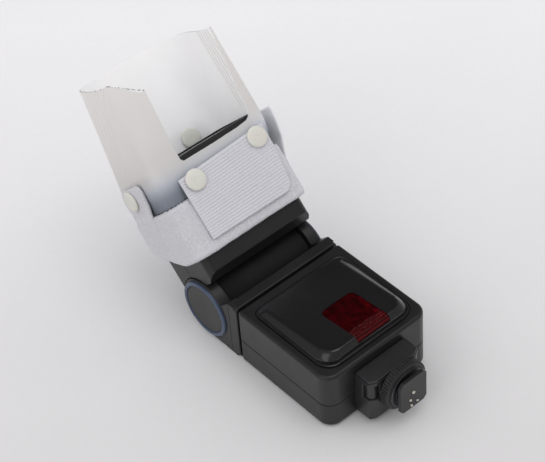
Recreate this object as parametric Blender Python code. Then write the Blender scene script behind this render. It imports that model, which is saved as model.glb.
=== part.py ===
"""Shoe-mount speedlight flash with a tilting and swivelling head and a soft
strap-on diffuser tube.  All sizes are in mm and become metres in the meshes.

Frame: origin at the centre of the shoe foot's sole, +X out of the sole (the
camera side), +Z out of the front face with the red lamp window, -Y left, +Y
right; the unit lies on its back.  The head's frame has its origin on the tilt
axis; u = -x runs along the head towards the lens, w = z towards its front face.
"""
import math
from itertools import count

import bmesh
import bpy
from mathutils import Vector

MM = 0.001
GAP = 0.3                              # clearance between neighbouring parts
SMOOTH_ANGLE = 30.0                    # degrees; sharper edges stay sharp
SIDES = (-1, 1)                        # left, right

# ----------------------------------------------------------- driving sizes
BODY_X0, BODY_X1 = -93.0, -23.5        # neck end, foot end
BODY_HW = 36.0                         # half width
BACK_Z, PART_Z, LEDGE_Z = -21.3, -4.9, 16.6   # back face, parting line, front ledge
WALL = 2.0
NECK_X = -93.5                         # origin of the swivelling neck
AXIS_X, AXIS_Z = -121.1, -2.5          # tilt axis, parallel to Y
TILT = 45.0                            # degrees the head leans forward from in line
FOOT_Y, FOOT_Z = 1.3, -0.8             # the foot sits slightly off the body's centre
STEM_R = 6.1
AXLE_HOLE_R, AXLE_HOLE_REACH = 3.3, 40.0
SCREW_Y, SCREW_W = 27.5, -8.5          # zoom screw and motor line in the head
DOOR_X0, DOOR_X1, DOOR_Z0, DOOR_Z1 = -86.0, -30.0, -17.0, 13.8
DOOR_MID_X = (DOOR_X0 + DOOR_X1) / 2
HINGE_Y, HINGE_Z = 35.0, 12.0          # the battery door's hinge line

for old in list(bpy.data.objects):
    bpy.data.objects.remove(old, do_unlink=True)


# ----------------------------------------------------------- materials
def material(name, color, roughness, metallic=0.0, transmission=0.0):
    made = bpy.data.materials.new(name)
    made.use_nodes = True
    inputs = made.node_tree.nodes["Principled BSDF"].inputs
    inputs["Base Color"].default_value = (*color, 1.0)
    inputs["Roughness"].default_value = roughness
    inputs["Metallic"].default_value = metallic
    inputs["Transmission Weight"].default_value = transmission
    return made


BLACK = material("black_satin", color=(0.012, 0.012, 0.014), roughness=0.38)
GLOSS = material("black_gloss", color=(0.008, 0.008, 0.009), roughness=0.12)
MATTE = material("black_matte", color=(0.02, 0.02, 0.022), roughness=0.6)
RED = material("red_window", color=(0.35, 0.004, 0.01), roughness=0.08, transmission=0.6)
BLUE = material("blue_ring", color=(0.05, 0.11, 0.22), roughness=0.4)
STEEL = material("steel", color=(0.62, 0.62, 0.63), roughness=0.3, metallic=1.0)
GOLD = material("contact_gold", color=(0.75, 0.6, 0.35), roughness=0.3, metallic=1.0)
CREAM = material("snap_cream", color=(0.72, 0.72, 0.6), roughness=0.35)
CLOTH = material("loop_cloth", color=(0.62, 0.61, 0.68), roughness=0.95)
RIB = material("ribbed_tab", color=(0.7, 0.7, 0.78), roughness=0.85)
SHEET = material("frosted_sheet", color=(0.85, 0.85, 0.85), roughness=0.45, transmission=0.5)
CLEAR = material("clear_lens", color=(0.9, 0.92, 0.92), roughness=0.08, transmission=0.9)
SILVER = material("reflector_silver", color=(0.85, 0.85, 0.86), roughness=0.15, metallic=1.0)
GREEN = material("circuit_green", color=(0.02, 0.14, 0.06), roughness=0.5)
COPPER = material("winding_copper", color=(0.6, 0.28, 0.12), roughness=0.4, metallic=1.0)
JACKET = material("cell_jacket", color=(0.05, 0.16, 0.4), roughness=0.35)
LCD = material("lcd_grey", color=(0.3, 0.34, 0.28), roughness=0.3)
GREY = material("light_grey", color=(0.45, 0.45, 0.46), roughness=0.4)


# ----------------------------------------------------------- outlines
def lerp(start, end, share):
    return start + (end - start) * share


def arc(start, end, radius, segments=8, center=(0.0, 0.0)):
    """Points from angle start to angle end, in degrees, both included."""
    angles = [math.radians(start + (end - start) * k / segments) for k in range(segments + 1)]
    return [(center[0] + radius * math.cos(t), center[1] + radius * math.sin(t)) for t in angles]


def circle(center, radius, segments):
    angles = [2 * math.pi * k / segments for k in range(segments)]
    return [(center[0] + radius * math.cos(t), center[1] + radius * math.sin(t)) for t in angles]


def rounded_rect(a0, a1, b0, b1, radii, segments=4):
    """Counter-clockwise from the high-a low-b corner; radii is one value or four."""
    if not isinstance(radii, tuple):
        radii = (radii,) * 4
    points = []
    corners = [(a1, b0, -90), (a1, b1, 0), (a0, b1, 90), (a0, b0, 180)]
    for (a, b, start), radius in zip(corners, radii):
        center = (a - math.copysign(radius, a - (a0 + a1) / 2),
                  b - math.copysign(radius, b - (b0 + b1) / 2))
        points += arc(start, start + 90, radius, segments, center)
    return points


def move_in(point, center, distance):
    """Point moved straight towards the center."""
    da, db = point[0] - center[0], point[1] - center[1]
    length = math.hypot(da, db)
    share = (length - distance) / length
    return (center[0] + da * share, center[1] + db * share)


def at(axis, point, along):
    """2D point placed in the plane across the axis."""
    if axis == "x":
        return (along, point[0], point[1])
    if axis == "y":
        return (point[0], along, point[1])
    return (point[0], point[1], along)


# ----------------------------------------------------------- solids
def ring_mesh(rings, closed=False):
    """Skin over equal rings; closed joins the last to the first, else ends are capped."""
    bm = bmesh.new()
    verts = [[bm.verts.new(Vector(p) * MM) for p in ring] for ring in rings]
    size = len(rings[0])
    for i in range(len(verts) if closed else len(verts) - 1):
        low, high = verts[i], verts[(i + 1) % len(verts)]
        for k in range(size):
            after = (k + 1) % size
            bm.faces.new((low[k], low[after], high[after], high[k]))
    if not closed:
        bm.faces.new(verts[0])
        bm.faces.new(verts[-1])
    bmesh.ops.recalc_face_normals(bm, faces=bm.faces)
    if bm.calc_volume(signed=True) < 0:
        bmesh.ops.reverse_faces(bm, faces=bm.faces)
    return bm


def prism(outline, axis, start, end, chamfer=0.0):
    if not chamfer:
        return ring_mesh([[at(axis, p, along) for p in outline] for along in (start, end)])
    center = (sum(p[0] for p in outline) / len(outline), sum(p[1] for p in outline) / len(outline))
    small = [move_in(p, center, chamfer) for p in outline]
    step = math.copysign(chamfer, end - start)
    levels = [(small, start), (outline, start + step), (outline, end - step), (small, end)]
    return ring_mesh([[at(axis, p, along) for p in points] for points, along in levels])


def box(x0, x1, y0, y1, z0, z1):
    return prism([(x0, y0), (x1, y0), (x1, y1), (x0, y1)], "z", z0, z1)


def round_bar(axis, center, steps, segments=20, closed=False):
    """Solid of revolution from (radius, position) steps, with flat ends."""
    return ring_mesh([[at(axis, p, along) for p in circle(center, radius, segments)]
                      for radius, along in steps], closed)


def turned(axis, center, profile, segments):
    """Closed profile of (radius, position) turned about the axis through center."""
    return round_bar(axis, center, profile, segments, closed=True)


def cylinder(axis, center, radius, start, end, segments=20):
    return round_bar(axis, center, [(radius, start), (radius, end)], segments)


# ----------------------------------------------------------- objects
def link(name, data, parent):
    ob = bpy.data.objects.new(name, data)
    bpy.context.scene.collection.objects.link(ob)
    ob.parent = parent
    return ob


def frame(name, location, parent=None, rotation=(0.0, 0.0, 0.0)):
    """Empty that carries moving parts; rotation in radians."""
    ob = link("frame_" + name, None, parent)
    ob.empty_display_size = 0.01
    ob.location = Vector(location) * MM
    ob.rotation_euler = rotation
    return ob


def mesh_object(name, bm, parent):
    mesh = bpy.data.meshes.new(name)
    bm.to_mesh(mesh)
    bm.free()
    return link(name, mesh, parent)


def part(name, bm, finish, parent=None, triangulate=False):
    if triangulate:                    # twisted faces are split before a Boolean
        bmesh.ops.triangulate(bm, faces=bm.faces)
    ob = mesh_object(name, bm, parent)
    ob.data.materials.append(finish)
    ob.data.shade_smooth()
    ob.data.set_sharp_from_angle(angle=math.radians(SMOOTH_ANGLE))
    return ob


cutter_numbers = count(1)


def cutter(bm, parent=None):
    ob = mesh_object("cutter_%02d" % next(cutter_numbers), bm, parent)
    ob.hide_render = True
    ob.display_type = "WIRE"
    return ob


def boolean(ob, other, operation="DIFFERENCE"):
    modifier = ob.modifiers.new("bool", "BOOLEAN")
    modifier.operation = operation
    modifier.solver = "EXACT"
    modifier.object = other


def cut(ob, bm):
    boolean(ob, cutter(bm, ob.parent))


def join(ob, bm):
    boolean(ob, cutter(bm, ob.parent), "UNION")


def intersect(ob, bm):
    boolean(ob, cutter(bm, ob.parent), "INTERSECT")


# ----------------------------------------------------------- joint frames
NECK = frame("neck", (NECK_X, 0, AXIS_Z))
HEAD = frame("head", (AXIS_X - NECK_X, 0, 0), NECK, (0.0, math.radians(TILT), 0.0))
DIFFUSER = frame("diffuser", (0, 0, 0), HEAD)
ZOOM = frame("zoom_carriage", (0, 0, 0), HEAD)
ZOOM_SCREW = frame("zoom_screw", (-33.5, SCREW_Y, SCREW_W), HEAD)
DOOR = frame("battery_door", (DOOR_MID_X, HINGE_Y, HINGE_Z))
LATCH = frame("door_latch", (0, 0, 0), DOOR)
RING = frame("lock_ring", (-7.2, FOOT_Y, FOOT_Z))
CLAMP = frame("clamp_plate", (-4.2, FOOT_Y, FOOT_Z))
PIN_FRAME = frame("contact_pins", (0, FOOT_Y, FOOT_Z))

# ----------------------------------------------------------- body casings
BODY_R = 8.0
NECK_END_R = 1.6                       # the casing is almost square at the neck
LAMP_OPENING = (-66, -34, -13, 19)     # x0, x1, y0, y1
LCD_X0, LCD_X1, LCD_Y0, LCD_Y1 = -84.0, -58.0, -22.0, 22.0
KEYS = [("mode_button", -49.0, -18.0), ("zoom_button", -49.0, 0.0),
        ("test_button", -49.0, 18.0)]  # name, x, y
KEY_HX, KEY_HY = 3.2, 5.6              # half size of a key's hole
SWITCH_X, SWITCH_Y = -37.0, 14.0
SWITCH_HX, SWITCH_HY = 2.6, 7.5        # half size of the switch slot
CASING_SCREWS = [(-87.0, -30.0), (-31.0, 30.0)]   # x, y


def body_ring(z, inset=0.0):
    foot_r, neck_r = max(BODY_R - inset, 1.0), max(NECK_END_R - inset, 0.5)
    outline = rounded_rect(BODY_X0 + inset, BODY_X1 - inset, -BODY_HW + inset, BODY_HW - inset,
                           (foot_r, foot_r, neck_r, neck_r), 5)
    return [(x, y, z) for x, y in outline]


def casing(name, rings):
    """Cup-shaped half casing; rings are (z, inset), outside first."""
    return part(name, ring_mesh([body_ring(z, inset) for z, inset in rings]), BLACK)


def build_casings():
    front_rim, back_rim = PART_Z + GAP / 2, PART_Z - GAP / 2
    front = casing("front_shell", [
        (LEDGE_Z, 1.6), (LEDGE_Z - 0.6, 0.5), (LEDGE_Z - 1.8, 0.0),
        (front_rim, 0.0), (front_rim, WALL), (LEDGE_Z - WALL, WALL)])
    back = casing("back_shell", [
        (BACK_Z, 2.6), (BACK_Z + 0.8, 1.0), (BACK_Z + 2.6, 0.0),
        (back_rim, 0.0), (back_rim, WALL), (BACK_Z + WALL, 0.6 + WALL)])
    # both casings share the swivel collar's hole and the battery door opening
    collar_hole = cutter(cylinder("x", (0, AXIS_Z), 12.5, -96.0, -88.0, 32))
    door_hole = cutter(box(DOOR_X0, DOOR_X1, BODY_HW - 3.2, BODY_HW + 2, DOOR_Z0, DOOR_Z1))
    for shell in (front, back):
        boolean(shell, collar_hole)
        boolean(shell, door_hole)
    # opening behind the red window, then the lead-in for the wires to the shoe
    cut(front, prism(rounded_rect(*LAMP_OPENING, 3), "z", LEDGE_Z - 4, LEDGE_Z + 2))
    cut(front, cylinder("x", (0, 0), 3.5, -28, -21, 16))
    cut_back_panel(back)


def cut_back_panel(back):
    """Display window, three key holes, power switch slot, two screw holes."""
    openings = [rounded_rect(LCD_X0, LCD_X1, LCD_Y0, LCD_Y1, 2)]
    for _, x, y in KEYS:
        openings.append(rounded_rect(x - KEY_HX, x + KEY_HX, y - KEY_HY, y + KEY_HY, 2.6))
    openings.append(rounded_rect(SWITCH_X - SWITCH_HX, SWITCH_X + SWITCH_HX,
                                 SWITCH_Y - SWITCH_HY, SWITCH_Y + SWITCH_HY, 2.0))
    for outline in openings:
        cut(back, prism(outline, "z", BACK_Z - 2, BACK_Z + 4))
    for center in CASING_SCREWS:
        cut(back, cylinder("z", center, 2.1, BACK_Z - 2, BACK_Z + 1.2, 16))


# ----------------------------------------------------------- raised front hood
HOOD_X0, HOOD_X1, HOOD_HW = -86.2, -28.4, 31.0
HOOD_TOP_X1, HOOD_TOP_HW = -32.2, 25.4
HOOD_H0, HOOD_H1 = 0.9, 6.5            # height over the ledge, neck end / foot end
HOOD_T = 1.7
WINDOW_X0, WINDOW_X1, WINDOW_Y0, WINDOW_Y1 = -59.3, -29.9, -8.5, 14.5
WINDOW_DROPS = (0.25, 1.45)            # outer and inner face below the hood's top
LAMP_STEPS = [(4.2, 14.7), (4.2, 16.4), (3.6, 17.6), (2.0, 18.4)]   # radius, z


def hood_z(x, drop):
    share = (x - HOOD_X0) / (HOOD_TOP_X1 - HOOD_X0)
    return LEDGE_Z + lerp(HOOD_H0, HOOD_H1, share) - drop


def hood_top(inset, drop):
    outline = rounded_rect(HOOD_X0 + 1.2 + inset, HOOD_TOP_X1 - inset, -HOOD_TOP_HW + inset,
                           HOOD_TOP_HW - inset, (7.5, 7.5, 4, 4), 5)
    return [(x, y, hood_z(x, drop)) for x, y in outline]


def hood_base(inset):
    outline = rounded_rect(HOOD_X0 + inset, HOOD_X1 - inset, -HOOD_HW + inset,
                           HOOD_HW - inset, (9, 9, 5, 5), 5)
    return [(x, y, LEDGE_Z + GAP) for x, y in outline]


def build_hood():
    # the inner top stays just above the base where the hood is shallow
    inner_top = [(x, y, max(z, LEDGE_Z + GAP + 0.1)) for x, y, z in hood_top(HOOD_T * 1.2, HOOD_T)]
    hood = part("front_hood_panel", ring_mesh([
        hood_top(0, 0), hood_base(0), hood_base(HOOD_T), inner_top]), GLOSS)
    cut(hood, box(WINDOW_X0, WINDOW_X1, WINDOW_Y0, WINDOW_Y1, LEDGE_Z - 1, LEDGE_Z + 12))


def window_profile(drop):
    """Side view (x, z) of a window face: flat run, bend, short slope."""
    start_x, bend_x, end_x = WINDOW_X0 + GAP, HOOD_TOP_X1 - 0.2 * drop, WINDOW_X1 - GAP
    slope = (HOOD_H1 - GAP) / (HOOD_X1 - HOOD_TOP_X1)
    end_z = LEDGE_Z + HOOD_H1 - slope * (end_x - HOOD_TOP_X1) - drop
    return [(start_x, hood_z(start_x, drop)), (bend_x, hood_z(bend_x, drop)),
            (end_x - 0.35 * drop, max(end_z, LEDGE_Z + 0.4))]


def build_assist_lamp():
    outer, inner = [window_profile(drop) for drop in WINDOW_DROPS]
    part("af_assist_window",
         prism(outer + inner[::-1], "y", WINDOW_Y0 + GAP, WINDOW_Y1 - GAP), RED)
    part("af_lamp", round_bar("z", (-46.0, 3.0), LAMP_STEPS, 16), RED)


# ----------------------------------------------------------- inside the body
CAPACITOR_STEPS = [(10.6, -86.5), (11.4, -85.7), (11.4, -44.0), (10.6, -43.2)]   # radius, x
TRAY_OUTER = (-87.2, -29.4, 2.6, 32.9, -18.2, 14.2)   # x0, x1, y0, y1, z0, z1
TRAY_INNER = (-86.0, -30.2, 3.8, 36.0, -17.3, 13.2)
CELL_R, CELL_X0, CELL_X1 = 7.1, -83.2, -33.2
CELL_CENTERS = [(11.3, -9.9), (26.0, -9.9), (11.3, 4.9), (26.0, 4.9)]   # y, z
CELL_STEPS = [                         # radius, x
    (6.6, CELL_X0), (CELL_R, CELL_X0 + 0.6), (CELL_R, CELL_X1 - 1.6), (6.4, CELL_X1 - 1.0),
    (2.7, CELL_X1 - 1.0), (2.7, CELL_X1)]
CONTACTS = [("head_end", -85.6, -84.0), ("foot_end", -32.6, -31.0)]   # name, x0, x1


def build_electronics():
    part("main_board", prism(rounded_rect(-88, -28.5, -33, 2.2, 3), "z", 8.8, 10.4), GREEN)
    part("main_capacitor", round_bar("x", (-16.0, -5.0), CAPACITOR_STEPS, 24), MATTE)
    part("transformer", prism(rounded_rect(-41.5, -27.0, -30.0, -13.0, 1.0), "z", -12.0, 4.0),
         COPPER)


def build_battery_bay():
    tray = part("battery_tray", box(*TRAY_OUTER), MATTE)
    cut(tray, box(*TRAY_INNER))
    for i, center in enumerate(CELL_CENTERS, 1):
        part("aa_cell_%d" % i, round_bar("x", center, CELL_STEPS), JACKET)
    for end, x0, x1 in CONTACTS:
        part("battery_contacts_" + end,
             prism(rounded_rect(4.4, 33.0, -17.0, 12.8, 1.0), "x", x0, x1), STEEL)


def build_back_panel():
    window = rounded_rect(LCD_X0 + GAP, LCD_X1 - GAP, LCD_Y0 + GAP, LCD_Y1 - GAP, 1.8)
    part("lcd_window", prism(window, "z", BACK_Z + 0.35, BACK_Z + 1.7), CLEAR)
    part("lcd_panel", box(-82.0, -60.0, -20.0, 2.2, -18.9, -17.4), LCD)
    half_x, half_y = KEY_HX - GAP, KEY_HY - GAP
    for name, x, y in KEYS:
        part(name, prism(rounded_rect(-half_x, half_x, -half_y, half_y, 2.3), "z", 0.35, 2.0),
             MATTE, frame(name, (x, y, BACK_Z)))
    # the knob stands at the left end of its slot
    half_x, knob_y0, knob_y1 = SWITCH_HX - GAP, -SWITCH_HY + GAP, -1.2
    part("power_switch", prism(rounded_rect(-half_x, half_x, knob_y0, knob_y1, 1.5),
                               "z", 0.35, 2.1),
         MATTE, frame("power_switch", (SWITCH_X, SWITCH_Y, BACK_Z)))
    for i, center in enumerate(CASING_SCREWS, 1):
        part("casing_screw_%d" % i,
             cylinder("z", center, 1.8, BACK_Z + 0.3, BACK_Z + 0.95, 12), STEEL)


# ----------------------------------------------------------- battery door
HINGE_LIP = 0.7                        # door edge beyond the hinge line
LATCH_Z = -22.5                        # below the hinge line


def build_battery_door():
    outer_y = BODY_HW - HINGE_Y
    inner_y, low_z = outer_y - WALL, DOOR_Z0 + GAP - HINGE_Z
    x0, x1 = DOOR_X0 + GAP, DOOR_X1 - GAP
    outline = [(outer_y, HINGE_LIP), (outer_y, low_z), (inner_y, low_z), (inner_y, HINGE_LIP)]
    door = part("battery_door", prism(outline, "x", x0 - DOOR_MID_X, x1 - DOOR_MID_X),
                BLACK, DOOR)
    cut(door, cylinder("x", (0, 0), 0.75, -40, 40, 12))
    cut(door, box(-6.0, 6.0, -3.0, 3.0, LATCH_Z - 2.8, LATCH_Z + 2.8))
    part("door_latch", box(-5.6, 2.3, -0.8, 0.7, LATCH_Z - 2.4, LATCH_Z + 2.4), MATTE, LATCH)
    part("door_hinge_pin", cylinder("x", (HINGE_Y, HINGE_Z), 0.45, x0 + 0.2, x1 - 0.2, 10), STEEL)


# ----------------------------------------------------------- shoe module and foot
MODULE_X0, MODULE_X1 = BODY_X1 + GAP, -11.1
MODULE_Z0, MODULE_Z1 = -18.2, 8.6
FOOT_T = 2.0
FOOT_OUTLINE = [                       # y, z about the foot's centre
    (-9.3, -8.6), (-7.2, -11.0), (7.2, -11.0), (9.3, -8.6),
    (9.3, 8.6), (7.2, 11.0), (-7.2, 11.0), (-9.3, 8.6)]
PINS = [(0.0, 0.0, 1.1), (-2.3, -4.5, 0.9), (2.6, -8.2, 0.9), (-1.6, -8.9, 0.9)]   # y, z, radius
KNURLS, KNURL_DEPTH, RING_R, RING_EASE = 30, 0.55, 14.4, 0.8


def module_outline(x0, corner_x, x1, corner_y, half_width):
    """(x, y) with the two foot-end corners cut off."""
    return [(x0, -half_width), (corner_x, -half_width), (x1, -corner_y),
            (x1, corner_y), (corner_x, half_width), (x0, half_width)]


def build_shoe_module():
    outline = module_outline(MODULE_X0, -13.6, MODULE_X1, 13.6, 17.8)
    module = part("shoe_module", prism(outline, "z", MODULE_Z0, MODULE_Z1, 0.6), BLACK)
    for side in SIDES:
        join(module, cylinder("z", (-14.5, side * 14.2), 3.2, -3.0, 8.0))
    outline = module_outline(MODULE_X0 + 0.2, -13.8, MODULE_X1 - 0.3, 13.3, 17.3)
    part("shoe_module_plate", prism(outline, "z", MODULE_Z1 + GAP, 10.3, 0.3), BLACK)


def build_foot():
    outline = [(FOOT_Y + y, FOOT_Z + z) for y, z in FOOT_OUTLINE]
    foot = part("shoe_foot", prism(outline, "x", -FOOT_T, 0.0), BLACK)
    join(foot, cylinder("x", (FOOT_Y, FOOT_Z), STEM_R, MODULE_X1 + GAP, -1.0, 24))
    for i, (y, z, radius) in enumerate(PINS, 1):
        # blind hole over the stem, right through the foot elsewhere
        bottom = -2.7 if math.hypot(y, z) < STEM_R else -4.0
        cut(foot, cylinder("x", (FOOT_Y + y, FOOT_Z + z), radius + 0.2, bottom, 1.0, 16))
        part("contact_pin_%d" % i,
             round_bar("x", (y, z), [(radius, -1.9), (radius, 0.25), (radius * 0.6, 0.6)], 14),
             GOLD, PIN_FRAME)


def build_lock_ring():
    """Knurled ring and the plate it presses on the shoe rails."""
    points = 2 * KNURLS
    crests, valleys = circle((0, 0), RING_R, points), circle((0, 0), RING_R - KNURL_DEPTH, points)
    knurled = [(valleys if k % 2 else crests)[k] for k in range(points)]
    eased = [move_in(p, (0, 0), RING_EASE) for p in knurled]
    bore = circle((0, 0), STEM_R + 0.35, points)
    levels = [(bore, -3.6), (eased, -3.6), (knurled, -2.8), (knurled, 1.6), (eased, 2.4),
              (bore, 2.4)]
    part("lock_ring", ring_mesh([[at("x", p, x) for p in outline] for outline, x in levels],
                                closed=True), MATTE, RING)
    plate_bore = STEM_R + 0.4
    profile = [(plate_bore, -0.3), (11.8, -0.3), (11.8, 0.3), (plate_bore, 0.3)]
    part("clamp_plate", turned("x", (0, 0), profile, 32), GREY, CLAMP)


# ----------------------------------------------------------- neck
EAR_R, EAR_IN, EAR_OUT = 18.3, 29.3, 36.0
YOKE_X0, YOKE_X1, YOKE_Z1 = -100.4, -94.0, 16.7
EAR_ROOT_X = -97.0
COLLAR_PROFILE = [                     # radius, x from the body's origin
    (7.0, -93.7), (12.0, -93.7), (12.0, -90.2), (14.4, -90.2), (14.4, -88.8), (7.0, -88.8)]
# radius, height over the ear
CAP_STEPS = [(13.2, 0.3), (13.2, 1.2), (12.4, 1.5)]
PIVOT_RING_PROFILE = [
    (13.6, 0.3), (17.2, 0.3), (17.2, 0.9), (16.4, 1.4), (14.0, 1.4), (13.6, 1.1)]
AXLE = (AXIS_X - NECK_X, 0)            # x, z of the tilt axis in the neck's frame


def neck_x(x):
    return x - NECK_X


def neck_z(z):
    return z - AXIS_Z


def build_yoke():
    base = rounded_rect(-BODY_HW, BODY_HW, neck_z(BACK_Z + 0.3), neck_z(YOKE_Z1), 3.0)
    yoke = part("neck_yoke", prism(base, "x", neck_x(YOKE_X0), neck_x(YOKE_X1)), BLACK, NECK)
    ear = [(neck_x(EAR_ROOT_X), neck_z(16.2)), (neck_x(YOKE_X0), neck_z(16.4))]
    ear += arc(42.7, 270, EAR_R, 16, AXLE)
    ear.append((neck_x(EAR_ROOT_X), neck_z(BACK_Z + 0.5)))
    for side in SIDES:
        join(yoke, prism(ear, "y", side * EAR_IN, side * EAR_OUT))
    cut(yoke, cylinder("y", AXLE, AXLE_HOLE_R, -AXLE_HOLE_REACH, AXLE_HOLE_REACH, 16))
    cut(yoke, cylinder("x", (0, 0), 6.0, neck_x(-102), neck_x(-92)))


def build_pivots():
    collar = [(radius, neck_x(x)) for radius, x in COLLAR_PROFILE]
    part("swivel_collar", turned("x", (0, 0), collar, 28), STEEL, NECK)
    part("tilt_axle", cylinder("y", AXLE, 3.0, -35.6, 35.6, 16), STEEL, NECK)
    for name, side in zip(("left", "right"), SIDES):
        cap, ring = [[(radius, side * (EAR_OUT + height)) for radius, height in steps]
                     for steps in (CAP_STEPS, PIVOT_RING_PROFILE)]
        part("pivot_cap_" + name, round_bar("y", AXLE, cap, 28), MATTE, NECK)
        part("pivot_ring_" + name, turned("y", AXLE, ring, 32), BLUE, NECK)


# ----------------------------------------------------------- head
HEAD_HW, HEAD_W0, HEAD_W1 = 35.0, -16.0, 27.0
HEAD_U1 = 78.0                         # lens end
HEAD_SPLIT = 2.5                       # w of the line between the two shells
HEAD_CUT_R = 18.9                      # hollow end about the tilt axis
HEAD_T = 1.8
OVER_END, OVER_SPLIT = 3.0, 2.0        # the hollow runs past the shell's open sides
REFLECTOR_T = 0.9
REFLECTOR_INNER = [                    # u, w
    (60.0, 20.0), (52.0, 17.5), (46.0, 13.0), (43.5, 7.0),
    (43.5, 2.0), (46.0, -4.0), (52.0, -8.4), (60.0, -11.0)]
THREAD_PITCH, THREAD_TURNS, THREAD_R, THREAD_ROOT_R = 3.0, 12, 1.5, 1.1


def head_xz(points):
    return [(-u, w) for u, w in points]


def front_profile(inset):
    """(u, w) side view of the front shell, or of its hollow when inset."""
    radius, end_u = HEAD_CUT_R + inset, HEAD_U1 + (OVER_END if inset else 0.0)
    split_w = HEAD_SPLIT + GAP / 2
    over_w = split_w - OVER_SPLIT
    curve = arc(49.7, math.degrees(math.asin(split_w / radius)), radius)
    if inset:
        curve.append((math.sqrt(radius * radius - 0.3), over_w))
    return [(end_u, over_w if inset else split_w), (end_u, HEAD_W1 - inset),
            (16.8 + inset * 0.6, HEAD_W1 - inset), (12.0 + inset, 20.4 - inset * 0.4)] + curve


def rear_profile(inset):
    """(u, w) side view of the rear shell, or of its hollow when inset."""
    radius, end_u = HEAD_CUT_R + inset, HEAD_U1 + (OVER_END if inset else 0.0)
    split_w = HEAD_SPLIT - GAP / 2
    over_w = split_w + OVER_SPLIT
    curve = arc(math.degrees(math.asin(split_w / radius)), -37.8, radius)
    if inset:
        curve.insert(0, (math.sqrt(radius * radius - 16.0), over_w))
    return [(end_u, over_w if inset else split_w)] + curve + [
        (16.6 + inset, HEAD_W0 + inset), (end_u, HEAD_W0 + inset)]


def head_section(inset, radius, segments):
    """Rounded cross-section (y, w) of the head, run along its length."""
    outline = rounded_rect(-HEAD_HW + inset, HEAD_HW - inset, HEAD_W0 + inset, HEAD_W1 - inset,
                           radius, segments)
    return prism(outline, "x", -100, 0)


def build_head_shell(name, profile):
    shell = part(name, prism(head_xz(profile(0.0)), "y", -HEAD_HW, HEAD_HW), BLACK, HEAD)
    intersect(shell, head_section(0.0, 5.0, 4))
    hollow = cutter(prism(head_xz(profile(HEAD_T)), "y", -HEAD_HW + HEAD_T, HEAD_HW - HEAD_T),
                    HEAD)
    intersect(hollow, head_section(HEAD_T, 3.2, 3))
    boolean(shell, hollow)
    # opening for the block on the hinge barrel
    cut(shell, box(-26, -10, -20.0, 20.0, -7.0, 12.0))


def build_hinge_barrel():
    steps = [(15.0, -28.9), (15.6, -28.3), (15.6, 28.3), (15.0, 28.9)]
    barrel = part("head_hinge_barrel", round_bar("y", (0, 0), steps, 28), MATTE, HEAD)
    join(barrel, box(-24.5, -6, -19.5, 19.5, -6.5, 11.5))
    cut(barrel, cylinder("y", (0, 0), AXLE_HOLE_R, -AXLE_HOLE_REACH, AXLE_HOLE_REACH, 16))


def build_lens():
    inset = HEAD_T + 0.4
    outline = rounded_rect(-HEAD_HW + inset, HEAD_HW - inset, HEAD_W0 + inset, HEAD_W1 - inset,
                           3.0, 3)
    part("fresnel_lens", prism(outline, "x", -(HEAD_U1 - 1.0), -(HEAD_U1 - 3.0)), CLEAR, HEAD)


def build_zoom():
    """Reflector trough with its nut, flash tube, lead screw and motor."""
    outer = [(u - REFLECTOR_T, w + (REFLECTOR_T if w > 4 else -REFLECTOR_T))
             for u, w in REFLECTOR_INNER]
    trough = head_xz(REFLECTOR_INNER + outer[::-1])
    reflector = part("reflector", prism(trough, "y", -24.0, 24.0), SILVER, ZOOM)
    nut = rounded_rect(-57.0, -49.5, -11.6, -5.8, 0.5, 1)
    join(reflector, prism(nut, "y", 20.0, SCREW_Y + 3.0))
    cut(reflector, cylinder("x", (SCREW_Y, SCREW_W), 1.9, -60, -40, 14))
    part("flash_tube", cylinder("y", (-48.0, 4.5), 2.0, -22.5, 22.5, 14), CLEAR, ZOOM)
    steps = [(THREAD_R, 0.0)]
    for k in range(THREAD_TURNS):
        x = -1.5 - THREAD_PITCH * k
        steps += [(THREAD_R, x), (THREAD_ROOT_R, x - 0.5), (THREAD_ROOT_R, x - 1.5),
                  (THREAD_R, x - 2.0)]
    steps.append((THREAD_R, -39.5))
    part("zoom_lead_screw", round_bar("x", (0, 0), steps, 10), STEEL, ZOOM_SCREW)
    part("zoom_motor", cylinder("x", (SCREW_Y, SCREW_W), 4.3, -22.5, -33.2), STEEL, HEAD)


# ----------------------------------------------------------- diffuser
U_STRAP, U_FREE, U_TOP = 57.0, 74.0, 136.5   # strap's edge, end of the swell, free end
SHEET_T, STRAP_T = 0.6, 2.4
SHEET_LEVELS = [46.0, U_STRAP, 65.5, U_FREE, 90.0, 105.0, 120.0, U_TOP]   # u
# sheet cut-outs: (x, y) outline, then the w they start from
FRONT_OPENING = [(-75.0, -18.0), (-75.6, 28.0), (-79.5, 30.6), (-128.5, 36.4),
                 (-150.0, 38.2), (-150.0, -12.5), (-117.0, -15.4), (-83.0, -18.0)]
LEFT_CORNER = [(-129.5, -45.0), (-128.5, -30.0), (-124.5, -26.0), (-116.5, -12.0),
               (-150.0, -8.0), (-150.0, -45.0)]
RIGHT_CORNER = [(-132.5, 50.0), (-128.5, 30.0), (-150.0, 25.0), (-150.0, 50.0)]
SHEET_CUTS = [(FRONT_OPENING, 20.0), (LEFT_CORNER, 8.0), (RIGHT_CORNER, 14.0)]
LEFT_TAB = [(-50.0, -36.5), (-79.0, -37.9), (-79.0, -40.0), (-50.0, -38.7)]   # x, y
BEND_X, BEND_Y, TIP_X, TIP_Y = -58.0, 44.3, -76.0, 47.3   # right tab's outer face
RIGHT_TAB = [(-47.0, 37.0), (-58.5, 42.1), (TIP_X, 45.2), (TIP_X, TIP_Y),
             (BEND_X, BEND_Y), (-47.0, 39.6)]
CLOSURE = [(-67.7, -25.5), (-70.6, 34.0), (-55.8, 33.5), (-38.0, 31.0), (-33.5, 28.0),
           (-32.0, 24.5), (-31.5, -26.0)]   # x, y
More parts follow.
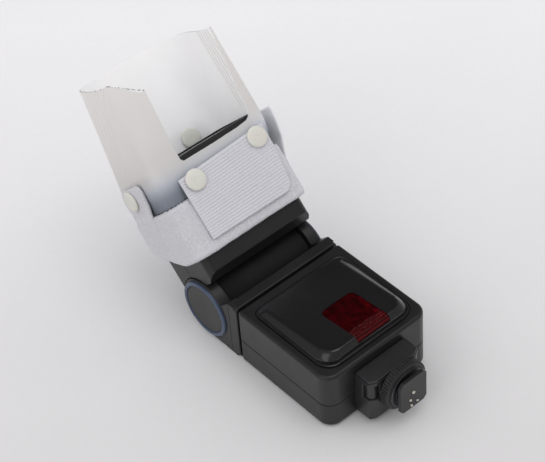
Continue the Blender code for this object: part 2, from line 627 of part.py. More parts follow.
CLOSURE_W0, CLOSURE_W1 = 31.1, 32.9
SNAP_STEPS = [(5.6, 0.0), (6.0, 0.5), (5.8, 1.4), (4.6, 1.9)]   # radius, height


def sheet_ring(u, offset):
    """Cross-section (y, w) of the flexible tube at u, offset outwards.
    It hugs the head below the strap's edge, swells above it, then its left side
    rounds off towards the free end."""
    swell = max(0.0, min(1.0, (u - U_STRAP) / (U_FREE - U_STRAP)))
    taper = max(0.0, (u - U_FREE) / (U_TOP - U_FREE))
    y0 = lerp(lerp(-35.5, -36.6, swell), -32.9, taper) - offset
    y1 = lerp(35.5, 38.7, swell) + offset
    w0 = lerp(lerp(-18.3, -18.9, swell), -17.4, taper) - offset
    w1 = lerp(lerp(27.5, 30.6, swell), 31.4, taper) + offset
    radii = (4 + offset, 4 + offset, lerp(4, 18, taper) + offset, lerp(4, 23, taper) + offset)
    return [(-u, y, w) for y, w in rounded_rect(y0, y1, w0, w1, radii, 5)]


def build_sheet():
    rings = [sheet_ring(u, SHEET_T) for u in SHEET_LEVELS]
    rings += [sheet_ring(u, 0.0) for u in SHEET_LEVELS[::-1]]
    sheet = part("diffuser_sheet", ring_mesh(rings, closed=True), SHEET, DIFFUSER,
                 triangulate=True)
    for outline, start_w in SHEET_CUTS:
        cut(sheet, prism(outline, "z", start_w, 45.0))


def strap_low_u(w):
    """Lower edge of the strap, which rises towards the back."""
    return 25.6 + 14.0 * max(0.0, min(1.0, (12.0 - w) / 32.0)) ** 1.3


def strap_ring(share, offset):
    """Strap section at a share of the way from its lower to its upper edge."""
    outline = rounded_rect(-36.4 - offset, 36.4 + offset, -19.2 - offset, 28.4 + offset,
                           3.5 + offset, 4)
    return [(-lerp(strap_low_u(w), U_STRAP, share), y, w) for y, w in outline]


def join_side_tab(strap, outline, w0, w1, face, y0, y1):
    """Tab with an (x, y) outline, trimmed to the rounded (x, w) face."""
    tab = cutter(prism(outline, "z", w0, w1), DIFFUSER)
    intersect(tab, prism(face, "y", y0, y1))
    boolean(strap, tab, "UNION")


def build_strap():
    """Band with three tabs standing up over the sheet: left, right and back."""
    stations = [(0.0, 0.0), (0.0, STRAP_T), (0.5, STRAP_T), (1.0, STRAP_T), (1.0, 0.0), (0.5, 0.0)]
    strap = part("loop_strap", ring_mesh([strap_ring(*s) for s in stations], closed=True),
                 CLOTH, DIFFUSER, triangulate=True)
    face = rounded_rect(-79.0, -40.0, -14.0, 13.5, (0.5, 0.5, 8, 8))
    join_side_tab(strap, LEFT_TAB, -14.0, 13.5, face, -50.0, -30.0)
    # the right one is the strap's loose end, bent away from the sheet
    face = rounded_rect(TIP_X, -40.0, 4.5, 28.5, (0.5, 0.5, 3, 6))
    join_side_tab(strap, RIGHT_TAB, 4.5, 28.5, face, 30.0, 50.0)
    join(strap, prism(rounded_rect(-89.0, -50.0, 4.0, 31.0, (3, 3, 7, 7)), "z", -21.9, -20.0))
    part("closure_tab", prism(CLOSURE, "z", CLOSURE_W0, CLOSURE_W1), RIB, DIFFUSER)


def snap(place, axis, center, base, side, parent=DIFFUSER):
    steps = [(radius, base + side * height) for radius, height in SNAP_STEPS]
    part("snap_" + place, round_bar(axis, center, steps), CREAM, parent)


def build_snaps():
    snap("front_left", "z", (-63.4, -17.4), CLOSURE_W1 + GAP, 1)
    snap("front_right", "z", (-65.4, 26.6), CLOSURE_W1 + GAP, 1)
    snap("left", "y", (-69.8, -3.0), -40.3, -1)
    # square to the bent tab's outer face
    x = -67.5
    y = lerp(BEND_Y, TIP_Y, (x - BEND_X) / (TIP_X - BEND_X))
    flare = math.atan2(TIP_Y - BEND_Y, BEND_X - TIP_X)
    snap("right", "y", (0.0, 0.0), GAP, 1,
         frame("snap_right", (x, y, 16.5), DIFFUSER, (0.0, 0.0, -flare)))
    snap("back", "z", (-81.5, 17.5), -18.3, 1)


# ----------------------------------------------------------- build
# cutters are numbered in the order they are made
build_casings()
build_hood()
build_assist_lamp()
build_electronics()
build_battery_bay()
build_back_panel()
build_battery_door()
build_shoe_module()
build_foot()
build_lock_ring()
build_yoke()
build_pivots()
build_head_shell("head_front_shell", front_profile)
build_head_shell("head_rear_shell", rear_profile)
build_hinge_barrel()
build_lens()
build_zoom()
build_sheet()
build_strap()
build_snaps()
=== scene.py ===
"""Looks for a shoe-mount speedlight with a strap-on frosted tube diffuser.

The flash lies on its back panel.  In the row frame x runs from the head (negative) to the
underside of the foot (0), y runs across from left (negative) to right, and z runs from the back
panel up to the front.  Lengths are millimetres and MM turns them into metres.  Head and diffuser
pieces use local x = -run, y, z = rise: run goes along the head from the tilt axis, and rise goes
towards the head's front face.
"""
import math

import bpy
import bmesh
from mathutils import Matrix, Vector, noise


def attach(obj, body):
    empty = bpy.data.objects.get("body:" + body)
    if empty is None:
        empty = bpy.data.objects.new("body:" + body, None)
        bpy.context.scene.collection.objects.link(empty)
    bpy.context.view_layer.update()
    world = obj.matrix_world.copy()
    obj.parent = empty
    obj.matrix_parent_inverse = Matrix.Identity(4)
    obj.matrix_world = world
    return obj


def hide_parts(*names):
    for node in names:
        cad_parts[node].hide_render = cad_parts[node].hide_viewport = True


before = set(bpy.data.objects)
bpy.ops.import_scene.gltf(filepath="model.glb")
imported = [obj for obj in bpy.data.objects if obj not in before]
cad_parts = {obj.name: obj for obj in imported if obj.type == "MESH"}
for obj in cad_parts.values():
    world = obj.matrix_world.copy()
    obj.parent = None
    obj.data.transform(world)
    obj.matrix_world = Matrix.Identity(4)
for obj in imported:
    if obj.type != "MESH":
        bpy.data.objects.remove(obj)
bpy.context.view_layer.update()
scene = bpy.context.scene

MM = 0.001
# ------------------------------------------------------------------ shared sizes
NECK_END_X, FOOT_END_X, HALF_WIDTH = -93.0, -23.5, 36.0
BACK_Z, PARTING_Z, FRONT_Z = -21.3, -4.9, 16.6
CLEARANCE = 0.3
AXIS_X, AXIS_Z = -121.1, -2.5  # the head's tilt axis
FOOT_Y, FOOT_Z = 1.3, -0.8  # centre of the foot and the locking ring
HEAD = (Matrix.Translation((AXIS_X * MM, 0, AXIS_Z * MM))
        @ Matrix.Rotation(math.radians(45), 4, "Y"))


def lerp(start, end, share):
    return start + (end - start) * share


def clamp(value, low=0.0, high=1.0):
    return max(low, min(high, value))


def ease(share):
    share = clamp(share)
    return share * share * (3 - 2 * share)


def interpolate(x, points):
    """Piecewise-linear value at x from (x, value) points."""
    if x <= points[0][0]:
        return points[0][1]
    for (xa, value_a), (xb, value_b) in zip(points, points[1:]):
        if x <= xb:
            return lerp(value_a, value_b, (x - xa) / (xb - xa))
    return points[-1][1]


def perlin(x, y, z, scale):
    return noise.noise(Vector((x * scale, y * scale, z * scale)))


def fractal(x, y, z, scale, octaves=3):
    value, weight, total = 0.0, 1.0, 0.0
    for _ in range(octaves):
        value += weight * perlin(x, y, z, scale)
        total += weight
        weight *= 0.55
        scale *= 2.1
    return value / total


# ------------------------------------------------------------------ node helpers
class Nodes:
    """Short helpers for a node tree.  Texture space is metres, so scales are per metre."""

    def __init__(self, owner, coordinates="Object"):
        owner.use_nodes = True
        self.owner = owner
        self.tree = owner.node_tree
        self.coords = self.node("TexCoord").outputs[coordinates]

    def feed(self, socket, value):
        if isinstance(value, bpy.types.NodeSocket):
            self.tree.links.new(value, socket)
        elif socket.type == "RGBA":
            socket.default_value = (*value, 1.0)
        else:
            socket.default_value = value

    def node(self, kind, inputs=None, **settings):
        """Add a node; inputs maps its sockets to values or to other nodes' outputs."""
        made = self.tree.nodes.new("ShaderNode" + kind)
        for key, value in settings.items():
            setattr(made, key, value)
        for key, value in (inputs or {}).items():
            self.feed(made.inputs[key], value)
        return made

    def shade(self, **inputs):
        """Set the Principled BSDF's inputs and return the material."""
        principled = self.tree.nodes["Principled BSDF"]
        for key, value in inputs.items():
            self.feed(principled.inputs[key.replace("_", " ")], value)
        return self.owner

    def scaled(self, scales, rotation=(0, 0, 0)):
        inputs = {"Vector": self.coords, "Scale": scales, "Rotation": rotation}
        return self.node("Mapping", inputs).outputs["Vector"]

    def noise(self, scale, detail=2.0, roughness=0.5, coords=None):
        inputs = {"Vector": coords or self.coords, "Scale": scale, "Detail": detail,
                  "Roughness": roughness}
        return self.node("TexNoise", inputs).outputs["Fac"]

    def streaks(self, scales, roughness=0.7, rotation=(0, 0, 0)):
        """Noise stretched by a scale for each axis."""
        return self.noise(1.0, 3, roughness, self.scaled(scales, rotation))

    def voronoi(self, scale):
        inputs = {"Vector": self.coords, "Scale": scale}
        return self.node("TexVoronoi", inputs).outputs["Distance"]

    def bricks(self, scales, faces, mortar, mortar_size, **settings):
        inputs = {"Vector": self.scaled(scales), "Color1": faces[0], "Color2": faces[1],
                  "Mortar": mortar, "Mortar Size": mortar_size}
        return self.node("TexBrick", inputs, **settings)

    def ramp(self, factor, *stops):
        """Colour ramp from (position, grey or colour) stops."""
        made = self.node("ValToRGB", {"Fac": factor})
        elements = made.color_ramp.elements
        while len(elements) < len(stops):
            elements.new(0.5)
        for element, (position, color) in zip(elements, stops):
            element.position = position
            rgb = color if isinstance(color, tuple) else (color,) * 3
            element.color = (*rgb, 1.0)
        return made.outputs["Color"]

    def remap(self, value, source, target, **settings):
        inputs = {0: value, 1: source[0], 2: source[1], 3: target[0], 4: target[1]}
        return self.node("MapRange", inputs, **settings).outputs[0]

    def vary(self, pattern, low, high):
        """Spread a noise's usual range over low to high."""
        return self.remap(pattern, (0.3, 0.7), (low, high))

    def calc(self, operation, *values):
        return self.node("Math", dict(enumerate(values)), operation=operation).outputs[0]

    def product(self, first, second):
        return self.calc("MULTIPLY", first, second)

    def less(self, mask, share):
        """1 - mask * share."""
        return self.calc("SUBTRACT", 1.0, self.product(mask, share))

    def dot(self, first, second):
        inputs = {0: first, 1: second}
        return self.node("VectorMath", inputs, operation="DOT_PRODUCT").outputs["Value"]

    def along_x(self):
        return self.node("SeparateXYZ", {0: self.coords}).outputs[0]

    def mix(self, factor, base, over, blend="MIX"):
        inputs = {0: factor, 6: base, 7: over}
        return self.node("Mix", inputs, data_type="RGBA", blend_type=blend).outputs[2]

    def tinted(self, color, tint):
        return self.mix(1.0, color, tint, "MULTIPLY")

    def mix_shader(self, factor, first, second):
        return self.node("MixShader", {0: factor, 1: first, 2: second}).outputs[0]

    def bump(self, height, depth_mm, under=None):
        inputs = {"Distance": depth_mm * MM, "Height": height}
        if under is not None:
            inputs["Normal"] = under
        return self.node("Bump", inputs).outputs["Normal"]

    def edge(self, radius_mm, strength):
        """Bright on edges and corners."""
        bevel = self.node("Bevel", {"Radius": radius_mm * MM}, samples=4)
        plain = self.node("NewGeometry")
        match = self.dot(bevel.outputs["Normal"], plain.outputs["Normal"])
        return self.remap(match, (0.995, 0.8), (0.0, strength))


def new_material(name):
    return Nodes(bpy.data.materials.new(name))


# ------------------------------------------------------------------ materials
def black_plastic(name, base, rough, grain_mm, grain_scale, wear, coat=0.0,
                  tint=(1.0, 1.0, 1.06)):
    """Dark moulded plastic with grain, dust, scratches and worn edges."""
    mat = new_material(name)

    def brighter(gain):
        return tuple(base * gain * channel for channel in tint)

    broad = mat.noise(scale=38, detail=3, roughness=0.6)
    fine = mat.noise(scale=grain_scale, detail=2, roughness=0.6)
    color = mat.mix(broad, brighter(0.75), brighter(1.3))
    color = mat.mix(mat.ramp(fine, (0.45, 0.0), (0.75, 0.35)), color, brighter(1.9))
    # dust specks, gathered in patches
    dust = mat.ramp(mat.voronoi(scale=900), (0.0, 0.55), (0.06, 0.0))
    patches = mat.ramp(mat.noise(scale=70, detail=4, roughness=0.7), (0.5, 0.0), (0.72, 1.0))
    color = mat.mix(mat.product(dust, patches), color, (0.16, 0.16, 0.165))
    # hairline scratches in places
    hairs = mat.streaks((220, 2600, 2600), rotation=(0.3, 0.2, 0.5))
    places = mat.ramp(mat.noise(scale=45, detail=2), (0.5, 0.0), (0.68, 0.5))
    scratches = mat.product(mat.ramp(hairs, (0.66, 0.0), (0.7, 1.0)), places)
    color = mat.mix(scratches, color, brighter(3.2))
    if wear:
        broken = mat.ramp(mat.noise(scale=160, detail=4, roughness=0.7), (0.4, 0.0), (0.62, 1.0))
        worn_and_highlit_edge = mat.product(mat.edge(radius_mm=0.5, strength=wear), broken)
        color = mat.mix(worn_and_highlit_edge, color, (0.11, 0.11, 0.115))
    roughness = mat.calc("ADD", mat.vary(broad, rough * 0.85, rough * 1.18),
                         mat.product(scratches, 0.12))
    coarse = mat.noise(scale=grain_scale * 0.35, detail=2)
    height = mat.calc("ADD", fine, mat.product(coarse, 0.6))
    if coat:
        mat.shade(Coat_Weight=coat, Coat_Roughness=0.06)
    return mat.shade(Base_Color=color, Roughness=roughness, Normal=mat.bump(height, grain_mm),
                     Specular_IOR_Level=0.5)


# arguments: base brightness, roughness, grain depth in mm, grain scale, edge wear
BODY_BLACK = black_plastic("body_black_satin", 0.0105, 0.36, 0.012, 1500, 0.3)
MODULE_BLACK = black_plastic("module_black_satin", 0.019, 0.34, 0.012, 1500, 0.3)
HOOD_BLACK = black_plastic("hood_black_gloss", 0.0085, 0.22, 0.004, 900, 0.12, coat=0.15)
MATTE_BLACK = black_plastic("black_matte_grain", 0.016, 0.55, 0.03, 1900, 0.35)
# hinge drum: matte black, its base colour made darker than the body's as painted shade for its
# place under the head
DRUM_BLACK_SHADED = black_plastic("drum_black_painted_shade", 0.003, 0.75, 0.02, 1500, 0.0)
KEY_BLACK = black_plastic("key_black_soft", 0.02, 0.62, 0.02, 2300, 0.2)
DISC_GREY = black_plastic("disc_dark_grey", 0.032, 0.5, 0.014, 1700, 0.1,
                          tint=(0.98, 1.0, 0.97))


def metal(name, color, rough, brush_scales=(60, 60, 2400)):
    """Brushed metal with darker blots."""
    mat = new_material(name)
    brush = mat.streaks(brush_scales, roughness=0.65)
    blots = mat.ramp(mat.noise(scale=120, detail=4, roughness=0.6), (0.5, 0.0), (0.75, 0.45))
    brushed = mat.mix(brush, tuple(x * 0.72 for x in color), color)
    blotted = mat.mix(blots, brushed, tuple(x * 0.45 for x in color))
    return mat.shade(Base_Color=blotted, Metallic=1.0,
                     Roughness=mat.vary(brush, rough * 0.8, rough * 1.35),
                     Normal=mat.bump(brush, depth_mm=0.004))


STEEL = metal("steel_brushed", (0.62, 0.62, 0.64), rough=0.28)
GOLD = metal("contact_plated", (0.86, 0.82, 0.7), rough=0.2, brush_scales=(900, 900, 900))
CLAMP_METAL = metal("clamp_dark_metal", (0.16, 0.16, 0.17), rough=0.4,
                    brush_scales=(60, 1800, 1800))
COPPER = metal("winding_copper", (0.62, 0.29, 0.13), rough=0.35, brush_scales=(1800, 60, 60))


def ring_material():
    mat = new_material("ring_slate_blue")
    broad = mat.noise(scale=60, detail=3)
    color = mat.mix(broad, (0.028, 0.046, 0.09), (0.05, 0.076, 0.132))
    # painted highlight: every edge and corner of the trim made lighter blue
    worn_and_highlit_edge = mat.product(mat.edge(radius_mm=0.35, strength=0.9), 0.8)
    color = mat.mix(worn_and_highlit_edge, color, (0.12, 0.16, 0.26))
    return mat.shade(Base_Color=color, Roughness=mat.vary(broad, 0.3, 0.42),
                     Normal=mat.bump(mat.noise(scale=2400, detail=2), depth_mm=0.01),
                     Coat_Weight=0.2, Coat_Roughness=0.2)


RING_BLUE = ring_material()


def window_material():
    """Clear red plastic with painted highlights: bright red lines across its foot end where the
    ribs catch the light.
    """
    mat = new_material("window_red")
    blotch = mat.noise(scale=240, detail=4, roughness=0.6)
    broad = mat.noise(scale=70, detail=2)
    plain = mat.mix(mat.ramp(blotch, (0.35, 0.0), (0.7, 1.0)),
                    (0.10, 0.0005, 0.003), (0.30, 0.002, 0.012))
    position = mat.along_x()
    foot_end = mat.remap(position, (-0.0382, -0.0364), (0.0, 1.0))
    lines = mat.calc("SINE", mat.product(position, 5026.5))  # 1.25 mm pitch
    # painted highlight: bright red lines on the foot-end ribs
    rib_highlight_color = mat.mix(mat.remap(lines, (0.1, 0.95), (0.0, 1.0)),
                    (0.16, 0.001, 0.006), (0.92, 0.03, 0.04))
    return mat.shade(Base_Color=mat.mix(foot_end, plain, rib_highlight_color),
                     Roughness=mat.vary(broad, 0.03, 0.08), Transmission_Weight=0.9, IOR=1.28,
                     Normal=mat.bump(blotch, depth_mm=0.008))


WINDOW_RED = window_material()


def lamp_material():
    mat = new_material("lamp_red")
    fine = mat.noise(scale=900, detail=3)
    return mat.shade(Base_Color=mat.mix(fine, (0.5, 0.01, 0.02), (0.85, 0.05, 0.07)),
                     Roughness=0.2, Subsurface_Weight=0.3, Subsurface_Scale=0.002,
                     Normal=mat.bump(fine, depth_mm=0.02))


LAMP_RED = lamp_material()


def sheet_material():
    """Frosted polypropylene: scatters light and shows a little of what is behind it."""
    mat = new_material("sheet_frosted")
    cloud = mat.noise(scale=28, detail=4, roughness=0.55)
    grain = mat.noise(scale=1600, detail=3, roughness=0.6)
    film = mat.mix(cloud, (0.93, 0.925, 0.92), (0.975, 0.973, 0.97))
    drawn = mat.ramp(mat.streaks((14, 40, 14)), (0.45, 0.0), (0.8, 0.3))
    film = mat.mix(drawn, film, (0.88, 0.875, 0.87))
    spots = mat.ramp(mat.voronoi(scale=420), (0.0, 0.5), (0.035, 0.0))
    film = mat.mix(spots, film, (0.7, 0.69, 0.67))
    shade_masks = mat.node("Attribute", attribute_name="sheet_shade_masks")
    outside = shade_masks.outputs["Alpha"]
    crease, contact, rim = mat.node("SeparateColor", {0: shade_masks.outputs["Color"]}).outputs
    waves = mat.bump(mat.noise(scale=160, detail=3), depth_mm=0.05)
    normal = mat.bump(grain, depth_mm=0.006, under=waves)

    # painted shade: cooler and darker where the sheet lies on the black head, darker on its outer
    # faces, in the creases and on the cut rim
    surface = mat.tinted(film, mat.mix(contact, (1.0, 0.995, 0.995), (0.74, 0.82, 0.97)))
    surface = mat.mix(outside, surface, mat.tinted(film, (0.765, 0.745, 0.715)))
    surface = mat.mix(crease, surface, (0.70, 0.68, 0.66))
    surface = mat.mix(rim, surface, (0.36, 0.35, 0.35))
    mat.shade(Base_Color=surface, Roughness=mat.vary(cloud, 0.34, 0.48),
              Specular_IOR_Level=0.5, Normal=normal)

    # part of the light scatters through the wall, warmed a little
    warm = mat.tinted(film, (1.0, 0.968, 0.935))
    scattered = mat.node("BsdfTranslucent", {"Color": warm, "Normal": normal}).outputs[0]
    scatter_share = mat.product(mat.remap(outside, (0.0, 1.0), (0.16, 0.44)),
                                mat.less(mat.calc("MAXIMUM", crease, rim), 0.6))
    reflected = mat.tree.nodes["Principled BSDF"].outputs[0]
    frosted = mat.mix_shader(scatter_share, reflected, scattered)

    # light on its way to other surfaces passes more easily than the view does
    view_share = mat.calc("ADD", 0.03, mat.product(mat.calc("POWER", contact, 1.4), 0.66))
    view_share = mat.product(view_share, mat.less(rim, 0.7))
    ray = mat.node("LightPath").outputs
    lighting = mat.calc("MAXIMUM", ray["Is Shadow Ray"], ray["Is Diffuse Ray"])
    clear_share = mat.calc("ADD", view_share, mat.product(lighting, 0.32))
    clear = mat.node("BsdfTransparent", {"Color": (0.88, 0.93, 1.0)}).outputs[0]
    wall = mat.mix_shader(clear_share, frosted, clear)

    # one scatter for each pass through the wall: light leaving the plastic goes straight on
    backfacing = mat.node("NewGeometry").outputs["Backfacing"]
    straight = mat.node("BsdfTransparent").outputs[0]
    mat.feed(mat.tree.nodes["Material Output"].inputs["Surface"],
             mat.mix_shader(backfacing, wall, straight))
    return mat.owner


FROSTED = sheet_material()


def cloth(name, dark, light, scale, depth_mm, sheen=0.4):
    """Looped fabric with lint on it."""
    mat = new_material(name)

    def dimmer(gain):
        return tuple(x * gain for x in dark)

    loops = mat.voronoi(scale)
    fluff = mat.noise(scale=scale * 0.6, detail=4, roughness=0.7)
    broad = mat.noise(scale=42, detail=3, roughness=0.6)
    color = mat.mix(mat.ramp(fluff, (0.3, 0.0), (0.7, 1.0)), dark, light)
    color = mat.mix(mat.ramp(loops, (0.0, 0.0), (0.5, 0.4)), color, dimmer(0.78))
    color = mat.mix(mat.ramp(broad, (0.45, 0.0), (0.8, 0.35)), color, dimmer(0.88))
    hairs = mat.streaks((500, 2400, 2400), roughness=0.75, rotation=(0.7, 0.3, 0.2))
    color = mat.mix(mat.ramp(hairs, (0.7, 0.0), (0.76, 0.55)), color, dimmer(0.62))
    height = mat.calc("ADD", mat.product(loops, -1.0), fluff)
    return mat.shade(Base_Color=color, Roughness=0.92, Sheen_Weight=sheen, Sheen_Roughness=0.5,
                     Normal=mat.bump(height, depth_mm), Specular_IOR_Level=0.25)


LOOP_CLOTH = cloth("loop_fabric_white", (0.545, 0.54, 0.575), (0.735, 0.73, 0.76),
                   scale=1300, depth_mm=0.2)
# smoother backing side of the strap, its colour raised above the loop cloth's as painted light on
# the right tab, which lies in shade
LIT_BACKING_CLOTH = cloth("strap_backing_painted_light", (0.84, 0.84, 0.86), (0.93, 0.93, 0.95),
                      scale=2000, depth_mm=0.05)
RIBBED_CLOTH = cloth("ribbed_fabric_white", (0.58, 0.58, 0.62), (0.73, 0.73, 0.77),
                     scale=2300, depth_mm=0.09, sheen=0.3)


def cream_material():
    mat = new_material("snap_cream_resin")
    broad = mat.noise(scale=110, detail=3)
    color = mat.mix(broad, (0.61, 0.605, 0.54), (0.69, 0.685, 0.63))
    specks = mat.ramp(mat.voronoi(scale=1500), (0.0, 0.3), (0.07, 0.0))
    color = mat.mix(specks, color, (0.5, 0.48, 0.42))
    return mat.shade(Base_Color=color, Roughness=mat.vary(broad, 0.3, 0.42),
                     Subsurface_Weight=0.15, Subsurface_Scale=0.002,
                     Normal=mat.bump(mat.noise(scale=2600, detail=2), depth_mm=0.008))


CREAM = cream_material()


def speck_material():
    mat = new_material("cut_edge_dark")
    fine = mat.noise(scale=3000, detail=2)
    return mat.shade(Base_Color=mat.mix(fine, (0.015, 0.015, 0.02), (0.09, 0.09, 0.1)),
                     Roughness=0.8, Normal=mat.bump(fine, depth_mm=0.02))


DARK_SPECK = speck_material()


def clear_material(name, tint, transmission, rough):
    mat = new_material(name)
    broad = mat.noise(scale=300, detail=3)
    return mat.shade(Base_Color=mat.mix(broad, tuple(x * 0.94 for x in tint), tint),
                     Transmission_Weight=transmission, IOR=1.49,
                     Roughness=mat.vary(broad, rough * 0.7, rough * 1.3),
                     Normal=mat.bump(mat.noise(scale=2000, detail=2), depth_mm=0.004))


LENS_CLEAR = clear_material("fresnel_clear", (0.93, 0.95, 0.94), transmission=0.85, rough=0.12)
TUBE_GLASS = clear_material("flash_tube_glass", (0.95, 0.95, 0.9), transmission=0.8, rough=0.05)
DISPLAY_GLASS = clear_material("display_glass", (0.9, 0.92, 0.9), transmission=0.9, rough=0.05)


def reflector_material():
    mat = new_material("reflector_bright")
    brush = mat.streaks((30, 900, 30), roughness=0.6)
    return mat.shade(Base_Color=mat.mix(brush, (0.8, 0.8, 0.82), (0.93, 0.93, 0.94)),
                     Metallic=1.0, Roughness=mat.vary(brush, 0.1, 0.2),
                     Normal=mat.bump(brush, depth_mm=0.01))


REFLECTOR = reflector_material()


def board_material():
    """Green circuit board with metal pads."""
    mat = new_material("circuit_green")
    tracks = mat.bricks((260, 260, 260), faces=((0.01, 0.12, 0.05), (0.02, 0.17, 0.07)),
                        mortar=(0.05, 0.3, 0.14), mortar_size=0.06)
    pads = mat.ramp(mat.voronoi(scale=380), (0.1, 1.0), (0.13, 0.0))
    return mat.shade(Base_Color=mat.mix(pads, tracks.outputs["Color"], (0.75, 0.72, 0.6)),
                     Roughness=0.4, Metallic=mat.product(pads, 0.9),
                     Normal=mat.bump(tracks.outputs["Fac"], depth_mm=0.03))


BOARD = board_material()


def cell_material():
    """Cell jacket: a two-tone band along the cell's length, bare metal at the ends."""
    # share of the length, colour, metallic
    bands = [
        (0.0, (0.5, 0.5, 0.52), 1.0), (0.02, (0.02, 0.06, 0.16), 0.0),
        (0.69, (0.025, 0.075, 0.2), 0.0), (0.7, (0.55, 0.32, 0.1), 0.7),
        (0.955, (0.6, 0.36, 0.12), 0.7), (0.965, (0.5, 0.5, 0.52), 1.0),
    ]
    mat = new_material("cell_two_tone")
    length = mat.remap(mat.along_x(), (-0.0832, -0.0332), (0.0, 1.0))
    color = mat.ramp(length, *[(share, rgb) for share, rgb, _ in bands])
    metallic = mat.ramp(length, *[(share, value) for share, _, value in bands])
    scratches = mat.streaks((100, 1600, 1600))
    color = mat.mix(mat.ramp(scratches, (0.6, 0.0), (0.75, 0.3)), color, (0.4, 0.4, 0.42))
    return mat.shade(Base_Color=color, Metallic=metallic,
                     Roughness=mat.vary(scratches, 0.18, 0.35),
                     Normal=mat.bump(scratches, depth_mm=0.004))


CELL = cell_material()


def capacitor_material():
    mat = new_material("capacitor_sleeve")
    fine = mat.noise(scale=600, detail=3)
    return mat.shade(Base_Color=mat.mix(fine, (0.01, 0.012, 0.02), (0.03, 0.032, 0.05)),
                     Roughness=mat.vary(fine, 0.2, 0.34), Normal=mat.bump(fine, depth_mm=0.01))


CAPACITOR = capacitor_material()


def display_material():
    """Segment display, switched off: grey-green with faint blank cells."""
    mat = new_material("display_segments")
    cells = mat.bricks((160, 110, 160), faces=((0.22, 0.25, 0.2), (0.24, 0.27, 0.22)),
                       mortar=(0.29, 0.33, 0.27), mortar_size=0.14, offset=0.0)
    fine = mat.noise(scale=3000, detail=2)
    color = mat.mix(mat.ramp(fine, (0.4, 0.0), (0.7, 0.3)), cells.outputs["Color"],
                    (0.32, 0.36, 0.3))
    return mat.shade(Base_Color=color, Roughness=0.35, Normal=mat.bump(fine, depth_mm=0.004))


DISPLAY = display_material()


def floor_material():
    """Pale paper with painted shade, darkening steadily across the floor towards the camera."""
    mat = new_material("floor_pale_paper")
    broad = mat.noise(scale=9, detail=4, roughness=0.6)
    fibres = mat.streaks((180, 520, 180), roughness=0.6)
    color = mat.mix(broad, (0.83, 0.825, 0.83), (0.865, 0.86, 0.865))
    color = mat.mix(mat.ramp(fibres, (0.4, 0.0), (0.8, 0.25)), color, (0.78, 0.775, 0.78))
    # painted shade: the paper darkens towards the camera side
    across = mat.remap(mat.dot(mat.coords, (-0.78, 0.62, 0.0)), (-0.25, 0.35), (0.0, 1.0))
    color = mat.mix(mat.ramp(across, (0.0, 1.0), (1.0, 0.0)), color,
                    mat.tinted(color, (0.66, 0.655, 0.65)))
    return mat.shade(Base_Color=color, Roughness=0.85, Specular_IOR_Level=0.2,
                     Normal=mat.bump(fibres, depth_mm=0.02))


PAPER = floor_material()


# ------------------------------------------------------------------ mesh helpers
# Outlines are lists of (a, b): (y, z) for axis x, (x, z) for axis y and (x, y) for axis z.
def corner_arcs(a0, a1, b0, b1, radii, counts):
    """Arcs of (a, b, normal a, normal b), one per corner, from the high-a low-b corner round."""
    arcs = []
    corners = zip(((a1, b0), (a1, b1), (a0, b1), (a0, b0)), radii, counts)
    for turn, ((a, b), radius, count) in enumerate(corners):
        radius = max(radius, 0.02)
        center_a = a - math.copysign(radius, a - (a0 + a1) / 2)
        center_b = b - math.copysign(radius, b - (b0 + b1) / 2)
        arc = []
        for k in range(count + 1):
            angle = math.radians(90 * (turn - 1) + 90.0 * k / count)
            cos, sin = math.cos(angle), math.sin(angle)
            arc.append((center_a + radius * cos, center_b + radius * sin, cos, sin))
        arcs.append(arc)
    return arcs


def round_rect(a0, a1, b0, b1, radius, steps=8):
    """Rounded rectangle; radius is one number or one for each corner."""
    radii = radius if isinstance(radius, tuple) else (radius,) * 4
    arcs = corner_arcs(a0, a1, b0, b1, radii, (steps,) * 4)
    return [(a, b) for arc in arcs for a, b, _, _ in arc]


def round_rect_at(a, b, half_a, half_b, radius, steps=8):
    return round_rect(a - half_a, a + half_a, b - half_b, b + half_b, radius, steps)


def circle(a, b, radius, count):
    angles = [2 * math.pi * k / count for k in range(count)]
    return [(a + radius * math.cos(angle), b + radius * math.sin(angle)) for angle in angles]


def mirrored(half):
    """Closes half an outline with its reflection in b."""
    return half + [(a, -b) for a, b in reversed(half)]


def quarter(steps):
    """Angles over a quarter turn."""
    return [math.pi / 2 * k / steps for k in range(steps + 1)]


def fillet(outline, radii, steps=6):
    """Rounds an outline's corners; radii is one radius or a dict by corner number."""
    out = []
    for i, point in enumerate(outline):
        radius = radii.get(i, 0.0) if isinstance(radii, dict) else radii
        corner = Vector(point)
        if radius <= 0:
            out.append(tuple(corner))
            continue
        before = Vector(outline[i - 1]) - corner
        after = Vector(outline[(i + 1) % len(outline)]) - corner
        limit = min(before.length * 0.49, after.length * 0.49)
        before.normalize()
        after.normalize()
        half_angle = math.acos(clamp(before.dot(after), -1, 1)) / 2
        reach = min(radius / math.tan(half_angle), limit)
        radius = reach * math.tan(half_angle)
        center = corner + (before + after).normalized() * (radius / math.sin(half_angle))
        first = corner + before * reach - center
        last = corner + after * reach - center
        start = math.atan2(first.y, first.x)
        sweep = math.atan2(last.y, last.x) - start
        sweep = (sweep + math.pi) % (2 * math.pi) - math.pi
        for k in range(steps + 1):
            angle = start + sweep * k / steps
            out.append((center.x + radius * math.cos(angle), center.y + radius * math.sin(angle)))
    return out


